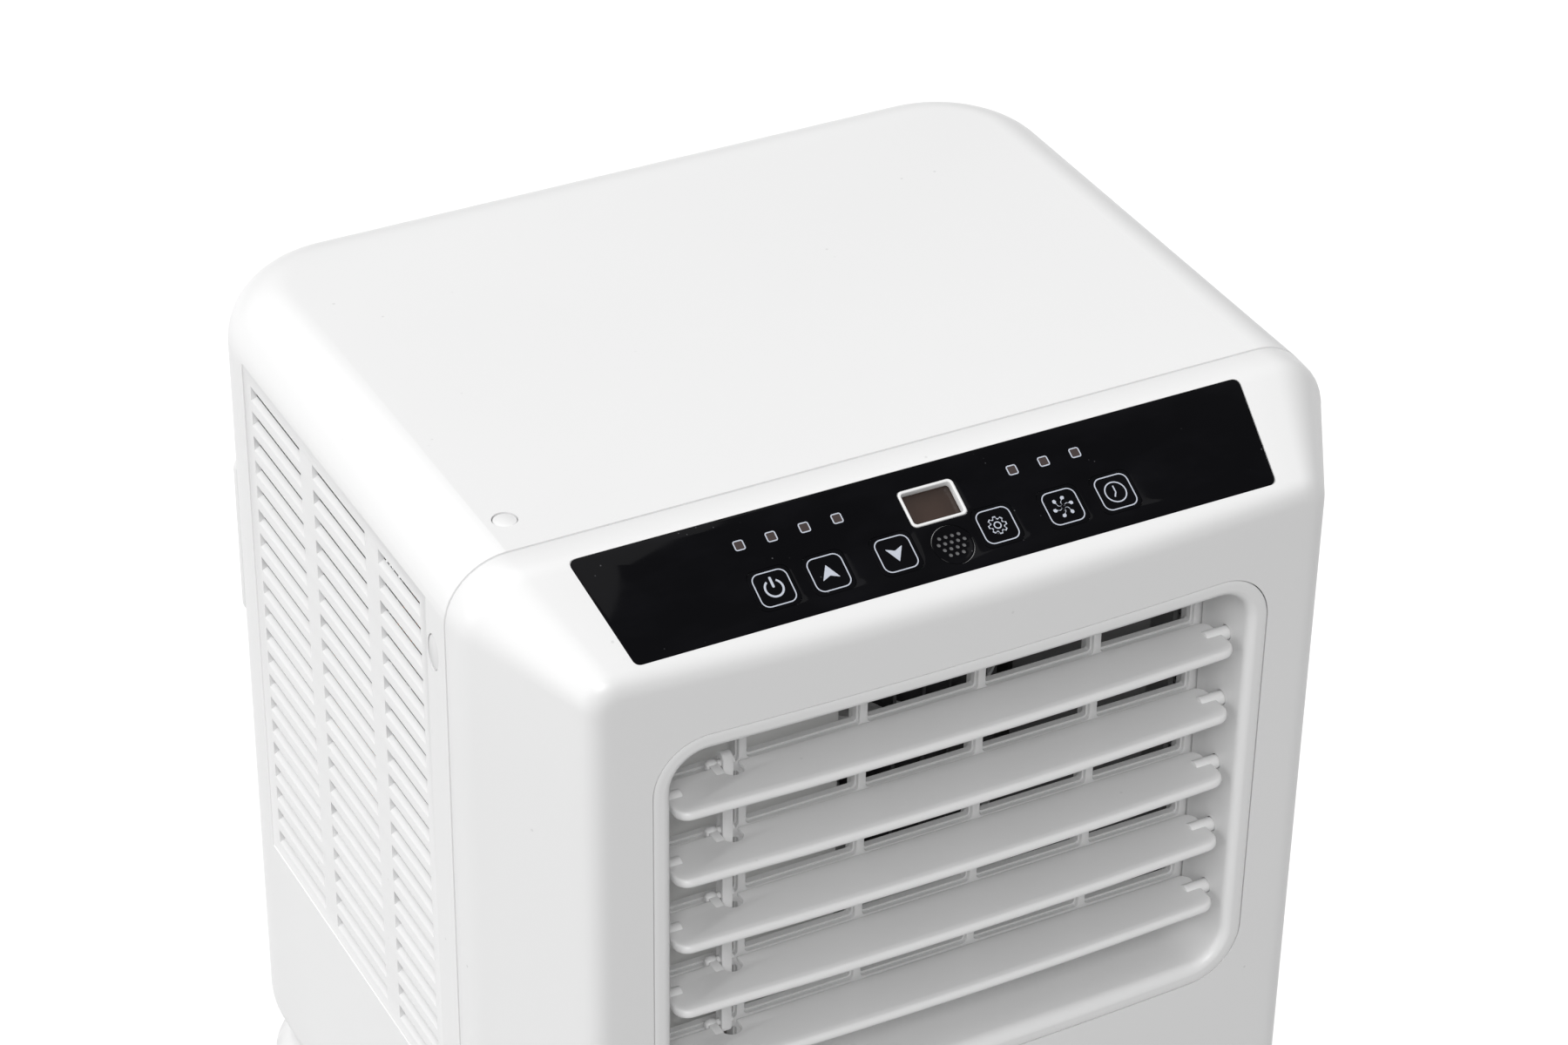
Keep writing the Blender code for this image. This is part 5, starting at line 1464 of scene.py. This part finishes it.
def makeCircuit(spec):
    makeCoil("cooling_coil", "evaporator_coil", spec)
    makeCoil("warming_coil", "condenser_coil", spec)

    low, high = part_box("compressor")
    x, y = (low.x + high.x) / 2, (low.y + high.y) / 2
    shell, heel, dome = 48 * mm, 14 * mm, 24 * mm
    profile = [(0, low.z), (52 * mm, low.z), (52 * mm, low.z + 3.2 * mm), (50 * mm, low.z + 4 * mm),
               (30 * mm, low.z + 4 * mm), (30 * mm, low.z + 10 * mm)]
    profile += arc((shell - heel, low.z + 10 * mm + heel), heel, -90, 0, 6)
    seam = high.z - 46 * mm
    profile += [(shell - 0.6 * mm, seam - 3 * mm), (shell, seam - 2 * mm), (shell, seam + 2 * mm),
                (shell - 0.8 * mm, seam + 3 * mm), (shell - 0.8 * mm, high.z - dome)]
    profile += [((shell - 0.8 * mm) * math.cos(angle), high.z - dome + dome * math.sin(angle))
                for angle in [math.radians(a) for a in range(10, 91, 10)]]
    body = turnedShape(profile, (x, y, 0), "Z", 64)
    bolts = []
    for i in range(3):
        angle = 0.5 + i * math.tau / 3
        boltX, boltY = x + 41 * mm * math.cos(angle), y + 41 * mm * math.sin(angle)
        bolts.append(rodShape(3.4 * mm, (boltX, boltY, low.z + 3 * mm), (boltX, boltY, low.z + 9 * mm), 6))
    cover = turnedShape([(0, high.z - 3 * mm), (14 * mm, high.z - 5 * mm), (14 * mm, high.z - 1.5 * mm),
                         (11 * mm, high.z), (0, high.z)], (x, y, 0), "Z", 32)
    bm = merged(body, paint(merged(*bolts), 1), paint(cover, 2))
    addPiece("compressor_body", bm, ["enamel", "steel", "dark"], "housing", ["compressor"])

    low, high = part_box("accumulator")
    x, y, radius = (low.x + high.x) / 2, (low.y + high.y) / 2, (high.x - low.x) / 2
    profile = [(0, low.z), (5 * mm, low.z), (6 * mm, low.z + 3 * mm)]
    profile += [(radius * math.sin(math.radians(a)), low.z + 16 * mm - 12 * mm * math.cos(math.radians(a)))
                for a in range(30, 91, 12)]
    profile += [(radius * math.sin(math.radians(a)), high.z - 16 * mm - 12 * mm * math.cos(math.radians(a)))
                for a in range(90, 151, 12)]
    profile += [(6 * mm, high.z - 3 * mm), (5 * mm, high.z), (0, high.z)]
    addPiece("suction_tank", turnedShape(profile, (x, y, 0), "Z", 40), ["enamel"], "housing",
             ["accumulator"])

    pipes = {
        "discharge_pipe": (3.5 * mm, 15 * mm, [
            (-98, -20, 271.8), (-98, -20, 286), (-122, 10, 286), (-122, 103, 286), (-122, 103, 245),
            (-108.4, 103, 245)]),
        "suction_pipe": (4.5 * mm, 16 * mm, [
            (-100, 55, 240.5), (-100, 55, 320), (-129, 55, 350), (-129, 55, 520), (-118.4, 55, 520)]),
        "capillary_tube": (1.4 * mm, 8 * mm, [
            (-108.4, 112, 100), (-126, 112, 100), (-126, 112, 300), (-134, 76, 360), (-134, 76, 560),
            (-126, 64, 560), (-118.4, 64, 560)]),
    }
    for node, (radius, bend, points) in pipes.items():
        bm = pipeShape([Vector(point) * mm for point in points], radius * 0.96, bend * 0.5)
        addPiece(node + "_bent", bm, ["copper"], "housing", [node])


# Fan, motors and electrics

fan = {
    "radius": 62 * mm,
    "depth": 40 * mm,
    "blades": 24,
    "chord": 14 * mm,
    "bladeThick": 1.2 * mm,
    "lean": 6 * mm,
    "belly": 3 * mm,
}


def motorShape(radius, length, place, axis):
    profile = [(0, -length), (radius - 2 * mm, -length), (radius, -length + 2 * mm), (radius, -length * 0.62),
               (radius - 1.2 * mm, -length * 0.60), (radius - 1.2 * mm, -length * 0.40),
               (radius, -length * 0.38), (radius, -6 * mm), (radius - 2 * mm, -4 * mm),
               (12 * mm, -4 * mm), (12 * mm, -0.6 * mm), (11.4 * mm, 0), (4.2 * mm, 0),
               (4.2 * mm, -2 * mm), (0, -2 * mm)]
    return turnedShape(profile, place, axis, 48)


def makeMachines(spec):
    low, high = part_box("condenser_fan")
    x, z = (low.x + high.x) / 2, (low.z + high.z) / 2
    radius, chord = spec["radius"], spec["chord"]
    face, back = high.y - spec["depth"], high.y
    eye = radius - chord
    rim = turnedShape([(eye, back - 2 * mm), (radius, back - 2 * mm), (radius, back), (eye, back)],
                      segments=72)
    hub = turnedShape([(0, low.y), (4 * mm, low.y), (4 * mm, face), (radius, face), (radius, face + 2 * mm),
                       (13 * mm, face + 2 * mm), (11 * mm, face + 5 * mm), (9 * mm, face + 16 * mm),
                       (0, face + 16 * mm)], segments=72)
    bm = merged(bladeRing(spec, face + mm, back - mm), rim, hub)
    turn = Matrix.Translation((x, 0, z)) @ Matrix.Rotation(-math.pi / 2, 4, "X")
    bmesh.ops.transform(bm, matrix=turn, verts=bm.verts)
    addPiece("condenser_wheel", bm, ["dark"], "condenser_fan", ["condenser_fan"])

    low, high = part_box("condenser_motor")
    middle, reach = (low + high) / 2, (high - low) / 2
    bm = motorShape(reach.x, high.y - low.y, (middle.x, high.y, middle.z), "Y")
    addPiece("condenser_motor_can", bm, ["steel"], "housing", ["condenser_motor"])
    low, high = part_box("blower_motor")
    middle, reach = (low + high) / 2, (high - low) / 2
    bm = motorShape(reach.x, high.z - low.z, (middle.x, middle.y, high.z), "Z")
    addPiece("blower_motor_can", bm, ["steel"], "housing", ["blower_motor"])

    low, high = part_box("run_capacitor")
    middle, radius = (low + high) / 2, (high.x - low.x) / 2
    can = turnedShape([(0, low.z), (radius - mm, low.z), (radius, low.z + mm), (radius, high.z - 3 * mm),
                       (radius - 1.5 * mm, high.z - 2 * mm), (0, high.z - 2 * mm)],
                      (middle.x, middle.y, 0), "Z", 40)
    tabs = [boxShape((middle.x + side * 6 * mm - 2.5 * mm, middle.y - 0.4 * mm, high.z - 3 * mm),
                     (middle.x + side * 6 * mm + 2.5 * mm, middle.y + 0.4 * mm, high.z)) for side in (-1, 1)]
    addPiece("capacitor_can", merged(can, *tabs), ["steel"], "housing", ["run_capacitor"])


# Casters

caster = {
    "wheel": 16.5 * mm,
    "trail": 11 * mm,
    "inner": 8.6 * mm,
    "arm": 3 * mm,
    "boss": 6.2 * mm,             # round end of each arm
    "headLow": 35.5 * mm,
}


def mirrored(profile):
    # (radius, height) pairs from below the middle up to their mirror image above it
    return [(radius, -height) for radius, height in profile] + profile[::-1]


def makeCasters(spec):
    radius, trail, inner, arm, boss = [spec[key] for key in ("wheel", "trail", "inner", "arm", "boss")]
    for corner in ("front_left", "front_right", "rear_left", "rear_right"):
        low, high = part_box("caster_axle_" + corner)
        middle = (low + high) / 2
        x, y = middle.x, middle.y - trail
        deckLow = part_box("caster_fork_" + corner)[1].z
        profile = [(0, spec["headLow"]), (15.5 * mm, spec["headLow"]), (17 * mm, spec["headLow"] + 1.5 * mm),
                   (17 * mm, 42.5 * mm), (16 * mm, 44 * mm), (14 * mm, 44.7 * mm), (4.8 * mm, 44.7 * mm),
                   (4.8 * mm, deckLow), (0, deckLow)]
        shapes = [turnedShape(profile, (x, y, 0), "Z", 40)]
        for side in (-1, 1):
            outline = [(-10 * mm, 37 * mm), (13 * mm, 37 * mm), (trail + boss, 17.5 * mm)]
            outline += arc((trail, radius), boss, 0, -180, 9)
            start = inner if side > 0 else -inner - arm
            cheek = pushed([(x + start, y + v, w) for v, w in outline], (arm, 0, 0))
            hole = rodShape(2.6 * mm, (x - 20 * mm, y + trail, radius), (x + 20 * mm, y + trail, radius), 24)
            cheek = combined(cheek, hole)
            shapes.append(soften(cheek, 0.5 * mm, 2, 50))
        addPiece("caster_yoke_" + corner, merged(*shapes), ["dark"], "caster_fork_" + corner,
                 ["caster_fork_" + corner])

        place = (x, y + trail, radius)
        tyre = turnedShape(mirrored([(13 * mm, 7.4 * mm), (15 * mm, 8 * mm), (16.2 * mm, 7 * mm),
                                     (radius, 5 * mm)]), place, "X", 64)
        hub = turnedShape(mirrored([(2.6 * mm, 7.8 * mm), (5 * mm, 7.8 * mm), (5.4 * mm, 6.2 * mm),
                                    (11.4 * mm, 5.6 * mm), (11.8 * mm, 7.2 * mm), (13.2 * mm, 7.4 * mm)]),
                          place, "X", 48)
        addPiece("caster_roller_" + corner, merged(tyre, paint(hub, 1)), ["tyre", "dark"],
                 "caster_wheel_" + corner, ["caster_wheel_" + corner])
        pin = turnedShape([(0, low.x - x), (1.9 * mm, low.x - x), (2.5 * mm, low.x - x + 0.6 * mm),
                           (2.5 * mm, high.x - x - 0.6 * mm), (1.9 * mm, high.x - x), (0, high.x - x)],
                          place, "X", 32)
        addPiece("caster_pin_" + corner, pin, ["steel"], "caster_fork_" + corner,
                 ["caster_axle_" + corner])


makePlugs()
makeIntakes(weave)
makeRear(rear)
makeCircuit(circuit)
makeMachines(fan)
makeCasters(caster)
kept = {"base_pan": "steel", "drip_deck": "inner", "condenser_scroll": "inner",
        "electrical_box": "steel", "electrical_lid": "steel", "control_board": "board"}
for node, material in kept.items():
    keepNode(node, material)
print("back, circuit, fans and casters made")

bpy.context.view_layer.update()
